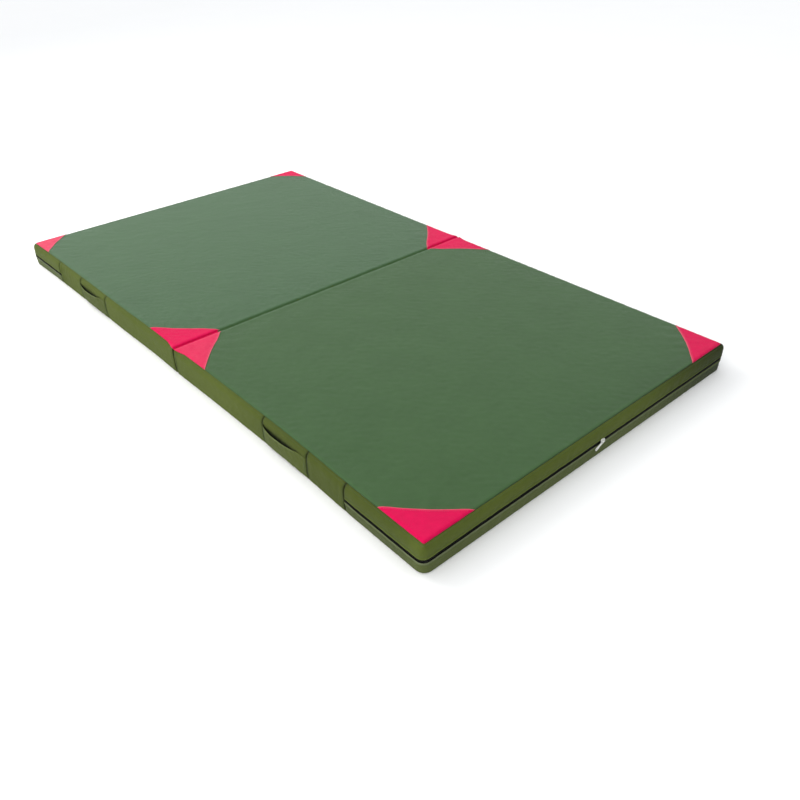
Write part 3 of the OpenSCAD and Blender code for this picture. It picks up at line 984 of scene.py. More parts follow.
def zip_wall(cover, upper):
    """The wall strip above or below the zip, with its folded edge."""
    low, high = at_front(ZIP_FRONT), at_back(ZIP_BACK)
    edge = OPEN_HIGH if upper else OPEN_LOW
    if upper:
        rest = lines(edge + HEM_ROWS[-1], HEIGHT, 5 * MM, fine_low=False)
        heights = np.concatenate([edge + HEM_ROWS, rest[1:]])
    else:
        rest = lines(0, edge - HEM_ROWS[-1], 5 * MM, fine_high=False)[::-1]
        heights = np.concatenate([edge - HEM_ROWS, rest[1:]])
    s, z = np.meshgrid(lines(low, high, 5 * MM), heights, indexing="ij")
    points = cover.wall(s, z)
    out = cover.out(s, z)
    points = points + out * hem_swell(np.abs(z - edge), upper)[..., None]
    turn = []
    way = -1 if upper else 1
    for past, inward in HEM_TURN:
        turn.append(points[:, 0] - out[:, 0] * inward * MM + np.array([0, 0, way * past * MM]))
    points = np.concatenate([np.stack(turn[::-1], axis=1), points], axis=1)
    count = len(HEM_TURN)
    turn_flat = np.array([edge + way * k * HEM_TURN_STEP for k in range(count, 0, -1)])
    flat = flat_places(s[:, 0], np.concatenate([turn_flat, heights]))
    # painted highlight along the folded edge beside the zip, fainter above it, less the painted shade
    hem_highlight = (0.5 if upper else 1.0) * bell(flat[..., 1] - edge, 2.6 * MM)
    wear_and_painted_light = hem_highlight - cover.painted_shade(flat[..., 0], flat[..., 1])
    shape = Shape().grid(points, flat, wear_and_painted_light, flip=not upper)
    part = "upper" if upper else "lower"
    finish_sheet(cover, shape, f"{cover.side}_zip_wall_{part}", "canvas_wall" if upper else "canvas_strip",
                 WALL if upper else STRIP)
    line = np.arange(low + 4 * MM, high - 4 * MM, 3 * MM)
    level = np.full_like(line, edge + HEM_STITCH if upper else edge - HEM_STITCH)

    def hemmed(u, v):
        return cover.wall(u, v) + cover.out(u, v) * hem_swell(np.abs(v - edge), upper)[..., None]

    threads = Shape()
    surface_run(threads, hemmed, line, level)
    finish_thread(cover, threads, f"zip_wall_{part}", GREEN_THREAD, "canvas_wall")


def walls(cover):
    wall_piece(cover, f"{cover.side}_fold_wall", at_back(CORNER_END), ROUND + at_front(CORNER_END), 12 * MM)
    for where, place, zip_end in (("front", at_front, ZIP_FRONT), ("back", at_back, ZIP_BACK)):
        for part, a, b in (("wall_inner", CORNER_END, HANDLE_IN), ("handle_wall", HANDLE_IN, HANDLE_OUT),
                           ("wall_outer", HANDLE_OUT, zip_end)):
            wall_piece(cover, cover.name(where, part), *sorted((place(a), place(b))), 5 * MM)
    zip_wall(cover, True)
    zip_wall(cover, False)


def seam_threads(cover):
    """Top-stitching beside the upright seams and under the top edge."""
    upright = Shape()
    z = np.arange(5 * MM, HEIGHT - 6 * MM, 2 * MM)
    for seam in wall_seams():
        beside_zip = {at_front(ZIP_FRONT): (-1,), at_back(ZIP_BACK): (1,)}
        for side in beside_zip.get(seam, (-1, 1)):
            surface_run(upright, cover.wall, np.full_like(z, seam + side * 4.2 * MM), z)
    finish_thread(cover, upright, "upright_seam", GREEN_THREAD, "canvas_wall")
    level = Shape()
    s = np.arange(at_front(CORNER_END) + 6 * MM, at_back(CORNER_END) - 6 * MM, 3 * MM)
    surface_run(level, cover.wall, s, np.full_like(s, HEIGHT - 7 * MM))
    finish_thread(cover, level, "top_edge", GREEN_THREAD, "canvas_wall")


PATCH_PAINTED_SHEEN = {"left_patch_outer_front": 0.3, "right_patch_fold_front": 0.12}     # patches painted paler: painted sheen from how the light falls on them
PATCH_ROWS = 34
PATCH_EDGE = np.array([6, 4.6, 3, 1.6, 0.7, 0]) * MM       # its last rows, from the folded edge
PATCH_LIFT = 1.15 * MM     # its upper side over the top sheet
PATCH_STITCH = 6 * MM      # its stitches, from the folded edge
PATCH_RIM = 4 * MM         # its normals are taken at least this far inside the panel's edge


def patch(cover, cad, corner_x, side_y):
    """A triangle of pink canvas. Its long edge is folded under and sewn; the others run into the seams."""
    inward = 1 if corner_x < END / 2 else -1
    full = patch_leg(cad)
    painted_sheen = PATCH_PAINTED_SHEEN.get(cad, 0.0)
    rows = np.concatenate([np.linspace(0, 1, PATCH_ROWS)[:-4], 1 - PATCH_EDGE / (full * 0.7)])
    points, flat, wear_and_painted_light, faces, begin = [], [], [], [], []
    for k, row in enumerate(rows):
        t = np.linspace(0, 1, k + 1) if k else np.zeros(1)
        leg = row * full
        x = corner_x + inward * leg * (1 - t)
        y = side_y * (HALF - leg * t)
        from_edge = (1 - row) * full * 0.707
        hem = 0.5 * MM * bell(from_edge - 2.2 * MM, 2.6 * MM)
        lift = PATCH_LIFT + hem - 0.45 * MM * bell(from_edge - PATCH_STITCH, 1.6 * MM)
        lift = lift - 0.75 * MM * (from_edge < 0.1 * MM)
        inner_x = np.clip(x, START + PATCH_RIM, END - PATCH_RIM)
        inner_y = np.clip(y, PATCH_RIM - HALF, HALF - PATCH_RIM)
        place = cover.top(x, y) + surface_normals(cover.top, inner_x, inner_y) * lift
        place[:, 2] = TOP_LIMIT - soft_gap(TOP_LIMIT - place[:, 2])
        points.append(place)
        flat.append(np.stack([x, y], axis=-1))
        # painted sheen on some patches, and a painted highlight along the folded edge
        wear_and_painted_light.append(np.full(len(x), painted_sheen + 0.6 * math.exp(-(from_edge / (2.5 * MM)) ** 2)))
        begin.append(sum(len(p) for p in points[:-1]))
    for k in range(1, len(rows)):
        a, b = begin[k - 1], begin[k]
        faces += [[a + i, b + i, b + i + 1] for i in range(k)]
        faces += [[a + i, b + i + 1, a + i + 1] for i in range(k - 1)]
    if inward * side_y > 0:
        faces = [face[::-1] for face in faces]
    shape = Shape().add(np.concatenate(points), faces, np.concatenate(flat), np.concatenate(wear_and_painted_light))
    finish_sheet(cover, shape, cad, "canvas_patch", PATCH,
                 thickness=0.6 * MM)
    t = np.linspace(0.03, 0.97, 80)
    leg = full - PATCH_STITCH * math.sqrt(2)
    x, y = corner_x + inward * leg * (1 - t), side_y * (HALF - leg * t)
    threads = Shape()
    surface_run(threads, cover.top, x, y, lift=0.75 * MM)
    finish_thread(cover, threads, cad.split("_", 1)[1], PINK_THREAD, "canvas_patch")


def patches(cover):
    """The panel's four corner patches."""
    for where, side_y in (("front", -1), ("back", 1)):
        real = cover.name(where, "").split("_")[1]
        patch(cover, f"{cover.side}_patch_outer_{real}", END, side_y)
        patch(cover, f"{cover.side}_patch_fold_{real}", START, side_y)


# ------------------------------------------------------------------ handles

BAND_GAP = 8.5 * MM        # the most room behind the band, at its upper edge
BAND_SAG = 8.5 * MM
BAND_LIFT = 3 * MM         # its upper edge rides up with the wall
BAND_ROWS = (0.085, 0.915)         # its two rows of stitches, as shares of its height
BOX_STITCH = (0.9, 0.965)          # the crossed box that holds its end, as shares of half its length
BAND_STITCH_PITCH = 3.8 * MM
BAND_CLEAR = 0.2 * MM      # between its closed ends and the wall
BAND_LOW_GAP = 0.12        # the gap at its lower edge, as a share of the most
BAND_FLAT = 0.2            # its thickness where its ends are sewn down, as a share of the whole
BAND_EASE = 0.35           # from there to the whole thickness, as a share of half its length


def band_shape(along, lean=1):
    """How open the band is, 0 to 1, for along from -1 to 1. It is slackest nearer one end."""
    t = np.clip((along * lean + 0.99) / 1.67, 0, 1)
    return np.sin(math.pi * t ** 0.75) ** 0.9


def handle(cover, where):
    """The band, in two halves that meet in the middle."""
    side_y, lean, place = (-1, 1, at_front) if where == "front" else (1, -1, at_back)
    body = cover.name(where, "handle")
    reach = (HANDLE_OUT - HANDLE_IN) / 2 - 0.4 * MM
    ups = np.concatenate([[0, 0.03, 0.07, 0.11], np.linspace(0.2, 0.8, 7), [0.89, 0.93, 0.97, 1]])
    tall = BAND_HIGH - BAND_LOW

    def skin(along, up, thick):
        """A point of the band: thick is 0 on the side near the wall and 1 outside."""
        opened = band_shape(along, lean)
        gap = BAND_CLEAR + BAND_GAP * opened * (BAND_LOW_GAP + (1 - BAND_LOW_GAP) * up ** 1.5)
        z = BAND_LOW + (tall + BAND_LIFT) * up - BAND_SAG * opened * up ** 2 + 1.2 * MM * opened * (1 - up)
        stitched = sum(bell((up - row) * tall, 1.6 * MM) for row in BAND_ROWS)
        firm = BAND_FLAT + (1 - BAND_FLAT) * smooth((1 - np.abs(along)) / BAND_EASE)
        full = BAND_THICK * firm * thick - (0.35 * MM * stitched) * (2 * thick - 1)
        x = HANDLE_MIDDLE + along * reach
        base = cover.wall(place(x), z)
        base[..., 1] = base[..., 1] + side_y * (gap + full)
        return base

    for half, way in (("inner", -1), ("outer", 1)):
        alongs = way * np.concatenate([np.linspace(0, 0.9, 31), [0.93, 0.96, 0.98, 1.0]])
        shape = Shape()
        a_in, u_in = np.meshgrid(alongs, ups, indexing="ij")
        inside, outside = skin(a_in, u_in, 0), skin(a_in, u_in, 1)
        bulge = BAND_THICK * 0.3
        high_edge = (inside[:, -1] + outside[:, -1]) / 2 + np.array([0, 0, bulge])
        low_edge = (inside[:, 0] + outside[:, 0]) / 2 - np.array([0, 0, bulge])
        loop = np.concatenate([inside, high_edge[:, None], outside[:, ::-1], low_edge[:, None]], axis=1)
        steps = np.concatenate([ups * tall, [tall + 2 * MM], tall + 4 * MM + (1 - ups[::-1]) * tall,
                                [2 * tall + 6 * MM]])
        n = loop.shape[1]
        flat = flat_places(alongs * reach, steps)
        # painted highlight along the band's folded edges, stronger where it stands out from the wall;
        # painted shade at its sewn ends
        rim = np.concatenate([np.zeros(len(ups) - 2), [0.5, 1, 1, 1, 0.5],
                              np.zeros(len(ups) - 4), [0.5, 1, 1]])
        wear_and_painted_light = np.broadcast_to(rim, loop.shape[:2]) * (0.15 + 0.85 * band_shape(a_in[:, :1], lean))
        wear_and_painted_light = wear_and_painted_light - 0.75 * smooth((np.abs(a_in[:, :1]) - 0.965) / 0.025)
        index = np.arange(loop.size // 3).reshape(loop.shape[:2])
        faces = [face[:1] + face[:0:-1] for face in tube_faces(index)]
        faces += [index[0].tolist()[::-1], index[-1].tolist()]
        if way * side_y > 0:
            faces = [face[::-1] for face in faces]
        shape.add(loop, faces, flat, wear_and_painted_light)
        for up in BAND_ROWS:
            line = way * np.linspace(0.0, 0.985, 90)
            add_band_run(shape, skin, line, np.full_like(line, up), side_y)
        spot = np.linspace(0.12, 0.88, 40)
        for column in BOX_STITCH:
            add_band_run(shape, skin, np.full_like(spot, way * column), spot, side_y)
        cross = np.linspace(*BOX_STITCH, 40)
        add_band_run(shape, skin, way * cross, spot, side_y)
        add_band_run(shape, skin, way * cross, spot[::-1], side_y)
        name = f"{body}_{half}_band"
        piece = shape.made(name, [BAND, GREEN_THREAD], cover.side == "left")
        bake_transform(piece)
        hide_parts(body if half == "inner" else f"{body}_tabs")


def add_band_run(shape, skin, along, up, side_y):
    """Stitches along a line on the outside of a handle's band."""
    points = skin(along, up, 1)
    normals = np.broadcast_to(np.array([0.0, side_y, 0.0]), points.shape)
    stitch_run(shape, points, normals, pitch=BAND_STITCH_PITCH, finish=1)


# ------------------------------------------------------------------ hinge strip

STRIP_DIP = 2.5 * MM       # how far the strip sags between the two seams
STRIP_END = 3 * MM         # how far short of the mat's sides it stops
STRIP_LAP = 2 * MM         # how far it laps over each top sheet
STRIP_LIFT = 0.5 * MM      # how high it lies over the sheets, under the patches
WING_TOP = 5 * MM          # where its wings start, below the top
WING_SHORT = 6             # how many of its 5 mm steps the wings are shorter at each side


def hinge_strip(left, right):
    """One strip of cloth across the crease, with a wing down each fold wall, pink between the patches."""
    y = np.linspace(-HALF + STRIP_END, HALF - STRIP_END, 221)
    seam = right.top(np.full_like(y, START), y)
    seam_left = left.top(np.full_like(y, START), -y) * (-1, -1, 1)
    lap = right.top(np.full_like(y, START + STRIP_LAP), y)
    lap_left = left.top(np.full_like(y, START + STRIP_LAP), -y) * (-1, -1, 1)
    ts = np.linspace(-1, 1, 15)
    wander = 0.3 * MM * np.sin(y / (31 * MM)) + 0.2 * MM * np.sin(y / (12 * MM) + 1)
    rows = []
    for t in ts:
        base = seam_left + (seam - seam_left) * (t + 1) / 2
        z = base[:, 2] + STRIP_LIFT - (STRIP_DIP + wander) * (1 - abs(t) ** 1.3)
        rows.append(np.stack([base[:, 0], base[:, 1], z], axis=-1))
    over = np.array([0, 0, STRIP_LIFT])
    points = np.stack([lap_left + over, *rows, lap + over], axis=1)
    across = np.concatenate([[-8 * MM], ts * 6 * MM, [8 * MM]])
    flat = flat_places(y, across)
    shape = Shape()
    index = np.arange(points.shape[0] * points.shape[1]).reshape(points.shape[:2])
    faces = np.array(quads(index, False))[:, ::-1]
    middle = np.abs(points.reshape(-1, 3)[faces][:, :, 1].mean(axis=1))
    shape.add(points, faces.tolist(), flat)
    shape.finish = (middle > HALF - patch_leg("right_patch_fold_front") + 2 * MM).astype(int).tolist()
    for cover, way in ((left, -1), (right, 1)):
        drop = np.linspace(HEIGHT - WING_TOP, STRIP_LOW, 8)
        run = y[WING_SHORT:-WING_SHORT]
        place, level = np.meshgrid(BACK_END + HALF - way * run, drop, indexing="ij")
        wing = cover.wall(place, level) * (way, way, 1) - (way * 0.5 * MM, 0, 0)
        shape.grid(wing, wing[..., 1:], flip=way > 0)
    piece = applied(thicken(shape.made("hinge_strip_cloth", [TOP["right"], PATCH]), 0.4 * MM))
    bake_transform(piece)
    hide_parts("left_hinge_strip", "right_hinge_strip")


# ------------------------------------------------------------------ zip

TOOTH_PITCH = 2.6 * MM
# A tooth's sections from its head to its root, in mm: rise, half its width along the zip, half its depth
TOOTH = [(0.0, 0.42, 0.95), (0.55, 0.62, 1.2), (1.25, 0.58, 1.2), (1.7, 0.42, 1.05), (3.2, 0.5, 1.1),
         (3.5, 0.4, 0.8)]
ROW_IN = 0.6 * MM          # the teeth's middle, in from the wall's face
ROW_MESH = 0.75 * MM       # how far each meshed row reaches past the zip's line
ROW_PART = 1.35 * MM       # how much further out an open row stands
TAPE_STEPS = np.array([0.0, 0.5, 1.0, 1.6, 2.3, 3.2, 4.5, 7, 10, 14]) * MM       # across the tape
TAPE_SWELL = np.array([0.5, 0.85, 0.95, 0.7, 0.25, 0, 0, 0, 0, 0]) * MM          # the cord in its edge


def row_gap(s):
    """Half the space between the two rows: they mesh beyond the slider and stand apart before it."""
    slider = at_end(SLIDER_Y)
    before = smooth((slider - s) / (14 * MM)) * smooth((s - at_front(ZIP_FRONT)) / (50 * MM))
    return -ROW_MESH + ROW_PART * before


def zip_line(cover, s, z, inward):
    out = cover.out(s, z)
    return cover.wall(s, z) - out * inward, out


def zip_teeth(cover, way):
    """The row of teeth above or below the zip's line, all in one mesh."""
    low, high = at_front(ZIP_FRONT) + MM, at_back(ZIP_BACK) - MM
    s = np.arange(low, high, TOOTH_PITCH) + (TOOTH_PITCH / 2 if way > 0 else 0)
    centre, out = zip_line(cover, s, np.full_like(s, ZIP_Z), ROW_IN)
    along = np.stack([-out[:, 1], out[:, 0], np.zeros(len(s))], axis=-1)
    up = np.array([0, 0, 1.0])
    near = row_gap(s)
    rings = []
    for rise, half_along, half_deep in TOOTH:
        place = centre + up * (way * (near + rise * MM))[:, None]
        for a, b in ((-1, -1), (1, -1), (1, 1), (-1, 1)):
            rings.append(place + along * (a * half_along * MM) + out * (b * half_deep * MM))
    points = np.stack(rings, axis=1)
    n = len(TOOTH)
    one = [[3, 2, 1, 0], [4 * n - 4, 4 * n - 3, 4 * n - 2, 4 * n - 1]]
    for k in range(n - 1):
        one += [[4 * k + j, 4 * k + (j + 1) % 4, 4 * k + 4 + (j + 1) % 4, 4 * k + 4 + j] for j in range(4)]
    if way < 0:
        one = [face[::-1] for face in one]
    faces = [[i + 4 * n * m for i in face] for m in range(len(s)) for face in one]
    part = "upper" if way > 0 else "lower"
    cad = f"{cover.side}_zip_teeth_{part}"
    piece = Shape().add(points, faces).made(f"{cad}_row", [TEETH], cover.side == "left")
    piece.data.polygons.foreach_set("use_smooth", [False] * len(piece.data.polygons))
    dress(piece, f"{cover.side}_panel", "zip_teeth", cad)


def zip_tape(cover, way):
    """A woven tape behind the wall, with a corded edge that the teeth grip."""
    low, high = at_front(ZIP_FRONT) + MM, at_back(ZIP_BACK) - MM
    s = np.linspace(low, high, round((high - low) / (5 * MM)))
    rows = []
    for step, raise_by in zip(TAPE_STEPS, TAPE_SWELL):
        centre, out = zip_line(cover, s, np.full_like(s, ZIP_Z), ROW_IN + 1.5 * MM)
        place = centre + out * (raise_by - 1.6 * MM * smooth(step / (5 * MM)))
        place[:, 2] = centre[:, 2] + way * (step + 2.2 * MM + row_gap(s))
        rows.append(place)
    points = np.stack(rows, axis=1)
    shape = Shape().grid(points, flat_places(s, TAPE_STEPS), flip=way < 0)
    part = "upper" if way > 0 else "lower"
    finish_sheet(cover, shape, f"{cover.side}_zip_tape_{part}", "zip_tape", TAPE,
                 thickness=0.5 * MM, kind="ribbon")


def prism(outline, low, high, bevel, segments=3):
    """A bevelled plate as (points, faces): outline in its own plane, from low to high across it."""
    made = bmesh.new()
    ring = [made.verts.new((u, v, low)) for u, v in outline]
    face = made.faces.new(ring)
    made.normal_update()
    if face.normal.z > 0:
        face.normal_flip()
    extrude(made, high - low)
    edges = [e for e in made.edges if len({round(v.co.z, 6) for v in e.verts}) == 1]
    bmesh.ops.bevel(made, geom=edges, offset=bevel, segments=segments, affect="EDGES", profile=0.5)
    return emptied(made)


def extrude(made, depth):
    """Makes a solid from the flat faces of a bmesh."""
    pushed = bmesh.ops.extrude_face_region(made, geom=made.faces[:])
    lifted = [v for v in pushed["geom"] if isinstance(v, bmesh.types.BMVert)]
    bmesh.ops.translate(made, verts=lifted, vec=(0, 0, depth))
    bmesh.ops.recalc_face_normals(made, faces=made.faces)


def emptied(made):
    """The points and faces of a bmesh, which is freed."""
    made.verts.index_update()
    points = np.array([v.co for v in made.verts])
    faces = [[v.index for v in f.verts] for f in made.faces]
    made.free()
    return points, faces


def arc(centre_u, centre_v, radius, start, stop, count):
    angles = np.radians(np.linspace(start, stop, count))
    return [(centre_u + radius * math.cos(a), centre_v + radius * math.sin(a)) for a in angles]


SLIDER_HALF = (8 * MM, 6 * MM)     # half its length and half its width
SHOULDER_R = 2.5 * MM
NOTCH = 1.6 * MM


def slider_outline(grow=0.0):
    """The slider's plate: two shoulders where the rows come in, and a narrower tail where they leave."""
    half_l, half_w = (half + grow for half in SLIDER_HALF)
    tail = half_w * 0.66
    points = arc(half_l - tail, 0, tail, -90, 90, 13)
    points += arc(-half_l + SHOULDER_R, half_w - SHOULDER_R, SHOULDER_R, 90, 180, 6)
    points += [(-half_l + NOTCH, 0)]
    points += arc(-half_l + SHOULDER_R, -half_w + SHOULDER_R, SHOULDER_R, 180, 270, 6)
    return points


def swept(path, section, up):
    """A solid along path, whose points lie in a plane with the normal up. Section is (side, up) pairs."""
    path = np.array(path)
    way = np.gradient(path, axis=0)
    way = way / np.linalg.norm(way, axis=1, keepdims=True)
    side = crossed(np.broadcast_to(up, way.shape), way)
    rings = np.stack([path + side * a + np.array(up) * b for a, b in section], axis=1)
    n = len(section)
    index = np.arange(len(path) * n).reshape(len(path), n)
    faces = tube_faces(index) + [index[0].tolist()[::-1], index[-1].tolist()]
    return rings.reshape(-1, 3), faces


def at_slider(cover, piece, extra=Matrix.Identity(4)):
    """Sets a piece drawn as u along the zip, v up and w out of the end wall in its place."""
    face = Matrix(((0, 0, 1, END), (1, 0, 0, SLIDER_Y), (0, 1, 0, ZIP_Z), (0, 0, 0, 1)))
    turn = Matrix.Rotation(math.pi, 4, "Z") if cover.side == "left" else Matrix.Identity(4)
    piece.data.transform(turn @ face @ extra)
    smooth_by_angle(piece)
    return piece


def smooth_by_angle(piece, angle=40):
    bpy.context.view_layer.objects.active = piece
    piece.select_set(True)
    bpy.ops.object.shade_auto_smooth(angle=math.radians(angle))
    piece.select_set(False)


# The slider's parts in mm: its side flanges, the diamond that parts the rows, and the arch for the pull
FLANGE = [(-7, 5.9), (1, 5.8), (6, 4.2)]
FLANGE_SECTION = [(-0.45, -0.9), (0.45, -0.9), (0.45, 1.7), (-0.45, 1.7)]
DIAMOND = [(-7, 0), (-4.5, -1.3), (1, -0.6), (1, 0.6), (-4.5, 1.3)]
ARCH_SECTION = [(-0.55, -0.5), (-0.3, -0.8), (0.3, -0.8), (0.55, -0.5),
                (0.55, 0.5), (0.3, 0.8), (-0.3, 0.8), (-0.55, 0.5)]


def scaled_up(pairs):
    """Pairs given in mm, in metres."""
    return [(a * MM, b * MM) for a, b in pairs]


def zip_slider(cover):
    shape = Shape()
    shape.add(*prism(slider_outline(), 1.1 * MM, 2.5 * MM, 0.45 * MM))
    shape.add(*prism(slider_outline(-0.3 * MM), -4.2 * MM, -3.0 * MM, 0.35 * MM))
    for way in (-1, 1):
        flange = [(u * MM, way * v * MM, -0.3 * MM) for u, v in FLANGE]
        shape.add(*swept(flange, scaled_up(FLANGE_SECTION), (0, 0, 1)))
    shape.add(*prism(scaled_up(DIAMOND), -3.4 * MM, 1.5 * MM, 0.15 * MM, 1))
    angles = np.linspace(0, math.pi, 21)
    loop = [(5 * MM * math.cos(a) * 0.92, 0, 2 * MM + 4.2 * MM * math.sin(a)) for a in angles]
    shape.add(*swept(loop, scaled_up(ARCH_SECTION), (0, 1, 0)))
    cad = f"{cover.side}_zip_slider"
    piece = at_slider(cover, shape.made(f"{cad}_casting", [METAL]))
    dress(piece, cad, "zip_metal", cad)


PULL_SLOPE = 30.0          # degrees it hangs down from the zip's line
PULL_LEAN = 2.5            # degrees its tip stands out from the wall
BAR_OUT = 3.9 * MM         # from the end wall to its bar


def zip_pull(cover):
    """A flat tab with a bar in the slider's arch, a waist, and a hole near its tip."""
    half, tip = 4.9 * MM, 25.1 * MM
    outer = arc(tip, 0, half, -90, 90, 17)
    outer += [(15 * MM, 3.7 * MM), (9 * MM, 3.5 * MM)] + arc(2.2 * MM, 2.7 * MM, 2.2 * MM, 90, 180, 5)
    outer += arc(2.2 * MM, -2.7 * MM, 2.2 * MM, 180, 270, 5) + [(9 * MM, -3.5 * MM), (15 * MM, -3.7 * MM)]
    window = arc(5.6 * MM, 1.9 * MM, 1.2 * MM, 0, 90, 5) + arc(2.4 * MM, 1.9 * MM, 1.0 * MM, 90, 180, 5)
    window += arc(2.4 * MM, -1.9 * MM, 1.0 * MM, 180, 270, 5)
    window += arc(5.6 * MM, -1.9 * MM, 1.2 * MM, 270, 360, 5)
    hole = arc(tip + 0.8 * MM, 0, 1.7 * MM, 0, 345, 24)
    shape = Shape()
    shape.add(*holed_plate(outer, [window, hole], -0.7 * MM, 0.7 * MM))
    cad = f"{cover.side}_zip_pull"
    piece = shape.made(f"{cad}_tab", [METAL])
    bevel = piece.modifiers.new("edges", "BEVEL")
    bevel.width = 0.3 * MM
    bevel.segments = 2
    bevel.limit_method = "ANGLE"
    lean = Matrix.Rotation(math.radians(PULL_LEAN), 4, "Y")
    slope = Matrix.Rotation(math.radians(180 + PULL_SLOPE), 4, "Z")
    at_slider(cover, piece, Matrix.Translation((0, 0, BAR_OUT)) @ slope @ lean)
    dress(piece, cad, "zip_metal", cad)


def holed_plate(outer, holes, low, high):
    """A flat plate with holes through it, as (points, faces)."""
    made = bmesh.new()
    edges = []
    for ring in (outer, *holes):
        corners = [made.verts.new((u, v, low)) for u, v in ring]
        following = corners[1:] + corners[:1]
        edges += [made.edges.new(pair) for pair in zip(corners, following)]
    bmesh.ops.triangle_fill(made, edges=edges, use_beauty=True, use_dissolve=True)
    extrude(made, high - low)
    return emptied(made)


# ------------------------------------------------------------------ foam

FOAM_CORNER = 24 * MM
FOAM_INSET = 3.5 * MM      # how far inside the frame's own foam it stays, to clear the draped cover
FOAM_EDGE = 4 * MM
FOAM_TOP_EDGE = 9 * MM     # under the cover's rounded top edge


def foam_block(cover, part, material, slot):
    """A cut foam sheet with soft edges and the slight waviness of a knife cut."""
    cad = f"{cover.side}_{part}"
    low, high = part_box(f"right_{part}")
    low, high = Vector(low), Vector(high)
    for k in range(2):
        low[k] += FOAM_INSET
        high[k] -= FOAM_INSET
    edge = FOAM_EDGE
    if part == "foam_top":
        high.z -= FOAM_INSET
        edge = FOAM_TOP_EDGE
    angles = np.radians(np.linspace(0, 90, 7))
    insets = [(edge * (1 - math.sin(a)), low.z + edge * (1 - math.cos(a))) for a in angles]
    insets += [(0.0, (low.z + high.z) / 2)]
    insets += [(edge * (1 - math.cos(a)), high.z - edge * (1 - math.sin(a))) for a in angles]
    tops = [edge + k * 12 * MM for k in range(1, 24)]
    rings = [outline(low, high, inset, low.z) for inset in tops[::-1]]
    rings += [outline(low, high, inset, z) for inset, z in insets]
    rings += [outline(low, high, inset, high.z) for inset in tops]
    points = np.stack(rings, axis=1)
    wave = cover.ripple(points[..., 0] * 3, points[..., 1] * 3 + points[..., 2] * 2)
    centre = np.array((low + high) / 2)
    points = cover.bowed(points - (points - centre) * 0.001 * (1 + wave[..., None]))
    shape = Shape().grid(points, closed=True)
    index = np.arange(shape.count).reshape(points.shape[:2])
    shape.faces += [index[:, 0].tolist()[::-1], index[:, -1].tolist()]
    shape.finish += [0, 0]
    piece = shape.made(f"{cad}_block", [material], cover.side == "left")
    dress(piece, f"{cover.side}_panel", slot, cad)


def outline(low, high, inset, z, count=16):
    """A rectangle with rounded corners as a ring of points, inset from low and high."""
    radius = max(FOAM_CORNER - inset, 2 * MM)
    ring = []
    for side_x, side_y, turn in ((1, -1, -90), (1, 1, 0), (-1, 1, 90), (-1, -1, 180)):
        centre_x = (high.x if side_x > 0 else low.x) - side_x * (inset + radius)
        centre_y = (high.y if side_y > 0 else low.y) - side_y * (inset + radius)
        ring += arc(centre_x, centre_y, radius, turn, turn + 90, 7)
        across = np.linspace(0, 1, count + 1)[1:-1]
        next_x, next_y = (side_x, -side_y) if side_x == -side_y else (-side_x, side_y)
        end_x = (high.x if next_x > 0 else low.x) - next_x * (inset + radius)
        end_y = (high.y if next_y > 0 else low.y) - next_y * (inset + radius)
        out = (math.cos(math.radians(turn + 90)) * radius, math.sin(math.radians(turn + 90)) * radius)
        ring += [(centre_x + (end_x - centre_x) * k + out[0], centre_y + (end_y - centre_y) * k + out[1])
                 for k in across]
    return np.array([(u, v, z) for u, v in ring])


# ------------------------------------------------------------------ camera, light and floor

CAMERA_TARGET = Vector((0.5168, -0.1843, 0.0))
CAMERA_AZIMUTH = math.radians(49.15)
CAMERA_ELEVATION = math.radians(34.885)
CAMERA_DISTANCE = 2.0015
CAMERA_ROLL = math.radians(-1.39)
CAMERA_LENS = 34.71


def camera():
    """The photo's point of view."""
    data = bpy.data.cameras.new("camera")
    data.lens = CAMERA_LENS
    data.sensor_width = 36
    made = placed("camera", data)
    level = math.cos(CAMERA_ELEVATION)
    back = Vector((math.sin(CAMERA_AZIMUTH) * level, -math.cos(CAMERA_AZIMUTH) * level,
                   math.sin(CAMERA_ELEVATION)))
    right = Vector((math.cos(CAMERA_AZIMUTH), math.sin(CAMERA_AZIMUTH), 0))
    up = back.cross(right)
    rolled_right = right * math.cos(CAMERA_ROLL) + up * math.sin(CAMERA_ROLL)
    rolled_up = up * math.cos(CAMERA_ROLL) - right * math.sin(CAMERA_ROLL)
    axes = Matrix((rolled_right, rolled_up, back)).transposed().to_4x4()
    made.matrix_world = Matrix.Translation(CAMERA_TARGET + back * CAMERA_DISTANCE) @ axes
    bpy.context.scene.camera = made


def area_light(name, place, target, size, watts, colour):
    data = bpy.data.lights.new(name, "AREA")
    data.shape = "DISK"
    data.size = size
    data.energy = watts
    data.color = colour
    made = placed(name, data)
    made.location = place
    made.rotation_mode = "QUATERNION"
    made.rotation_quaternion = (Vector(target) - Vector(place)).to_track_quat("-Z", "Y")


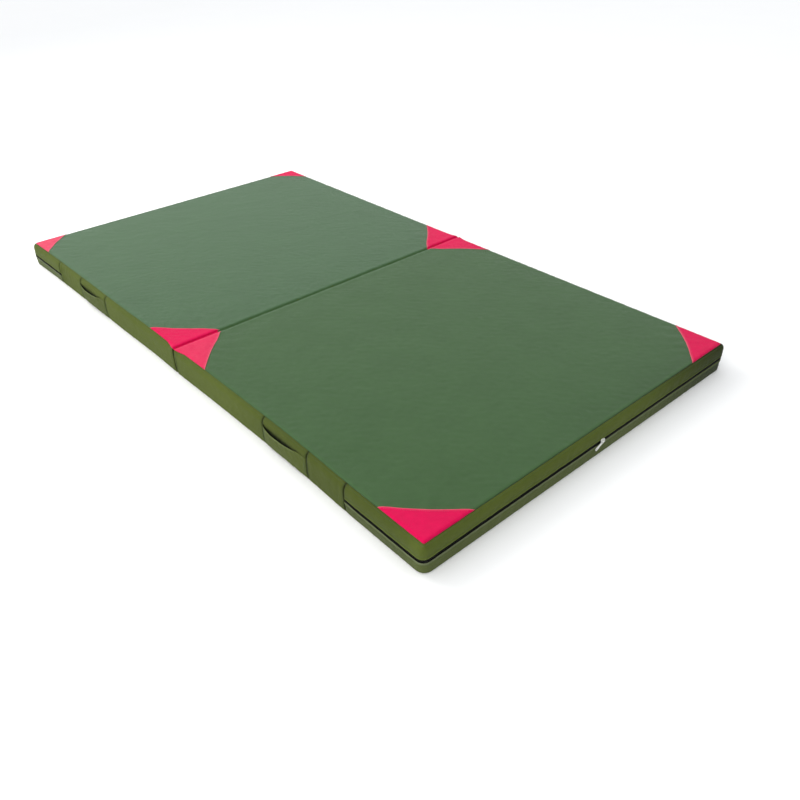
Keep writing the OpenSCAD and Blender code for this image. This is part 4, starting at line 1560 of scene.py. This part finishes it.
def studio():
    """A white room with its light from the left, dimmer towards the right and the back."""
    world = bpy.data.worlds.new("studio")
    world.use_nodes = True
    tree = world.node_tree
    way = node(tree, "ShaderNodeTexCoord").outputs["Generated"]
    toward = node(tree, "ShaderNodeVectorMath", operation="DOT_PRODUCT")
    tree.links.new(way, toward.inputs[0])
    toward.inputs[1].default_value = (-0.75, -0.25, 0.6)
    room = node(tree, "ShaderNodeMapRange")
    room.inputs["From Min"].default_value = -0.9
    room.inputs["From Max"].default_value = 0.5
    room.inputs["To Min"].default_value = 0.35
    room.inputs["To Max"].default_value = 1.15
    tree.links.new(toward.outputs["Value"], room.inputs["Value"])
    seen = node(tree, "ShaderNodeLightPath").outputs["Is Camera Ray"]
    strength = maths(tree, "MAXIMUM", room.outputs[0], seen)
    background = tree.nodes["Background"]
    background.inputs["Color"].default_value = (0.97, 0.985, 1.0, 1)
    tree.links.new(strength, background.inputs["Strength"])
    bpy.context.scene.world = world
    area_light("key", (-2.6, -1.0, 2.3), (-0.2, 0, 0), 2.6, 60, (1.0, 0.985, 0.95))
    area_light("front", (1.3, -3.0, 1.5), (0.7, -0.55, 0), 1.8, 26, (1.0, 0.98, 0.94))
    across = np.linspace(-40, 40, 17)
    x, y = np.meshgrid(across, across, indexing="ij")
    floor = Shape().grid(np.stack([x, y, np.full_like(x, -0.4 * MM)], axis=-1))
    material, tree, shader = blank("floor")
    place = node(tree, "ShaderNodeTexCoord").outputs["Object"]
    tint = mixed(tree, noise(tree, place, 3.0), (0.95, 0.95, 0.95, 1), (0.97, 0.97, 0.97, 1))
    tree.links.new(tint, shader.inputs["Base Color"])
    shader.inputs["Roughness"].default_value = 0.9
    floor.made("floor", [material])
    bpy.context.scene.view_settings.view_transform = "Standard"


def build(side, seed):
    """One panel, all its pieces. Gives its cover, for the hinge strip."""
    cover = Cover(side, seed)
    foam_block(cover, "foam_top", FOAM_FIRM, "foam_firm")
    foam_block(cover, "foam_core", FOAM_CORE, "foam_core")
    foam_block(cover, "foam_base", FOAM_FIRM, "foam_firm")
    top_sheet(cover)
    bottom_sheet(cover)
    walls(cover)
    seam_threads(cover)
    patches(cover)
    for where in ("front", "back"):
        handle(cover, where)
    for way in (-1, 1):
        zip_teeth(cover, way)
        zip_tape(cover, way)
    zip_slider(cover)
    zip_pull(cover)
    return cover


camera()
studio()
right_cover = build("right", 11)
left_cover = build("left", 23)
hinge_strip(left_cover, right_cover)
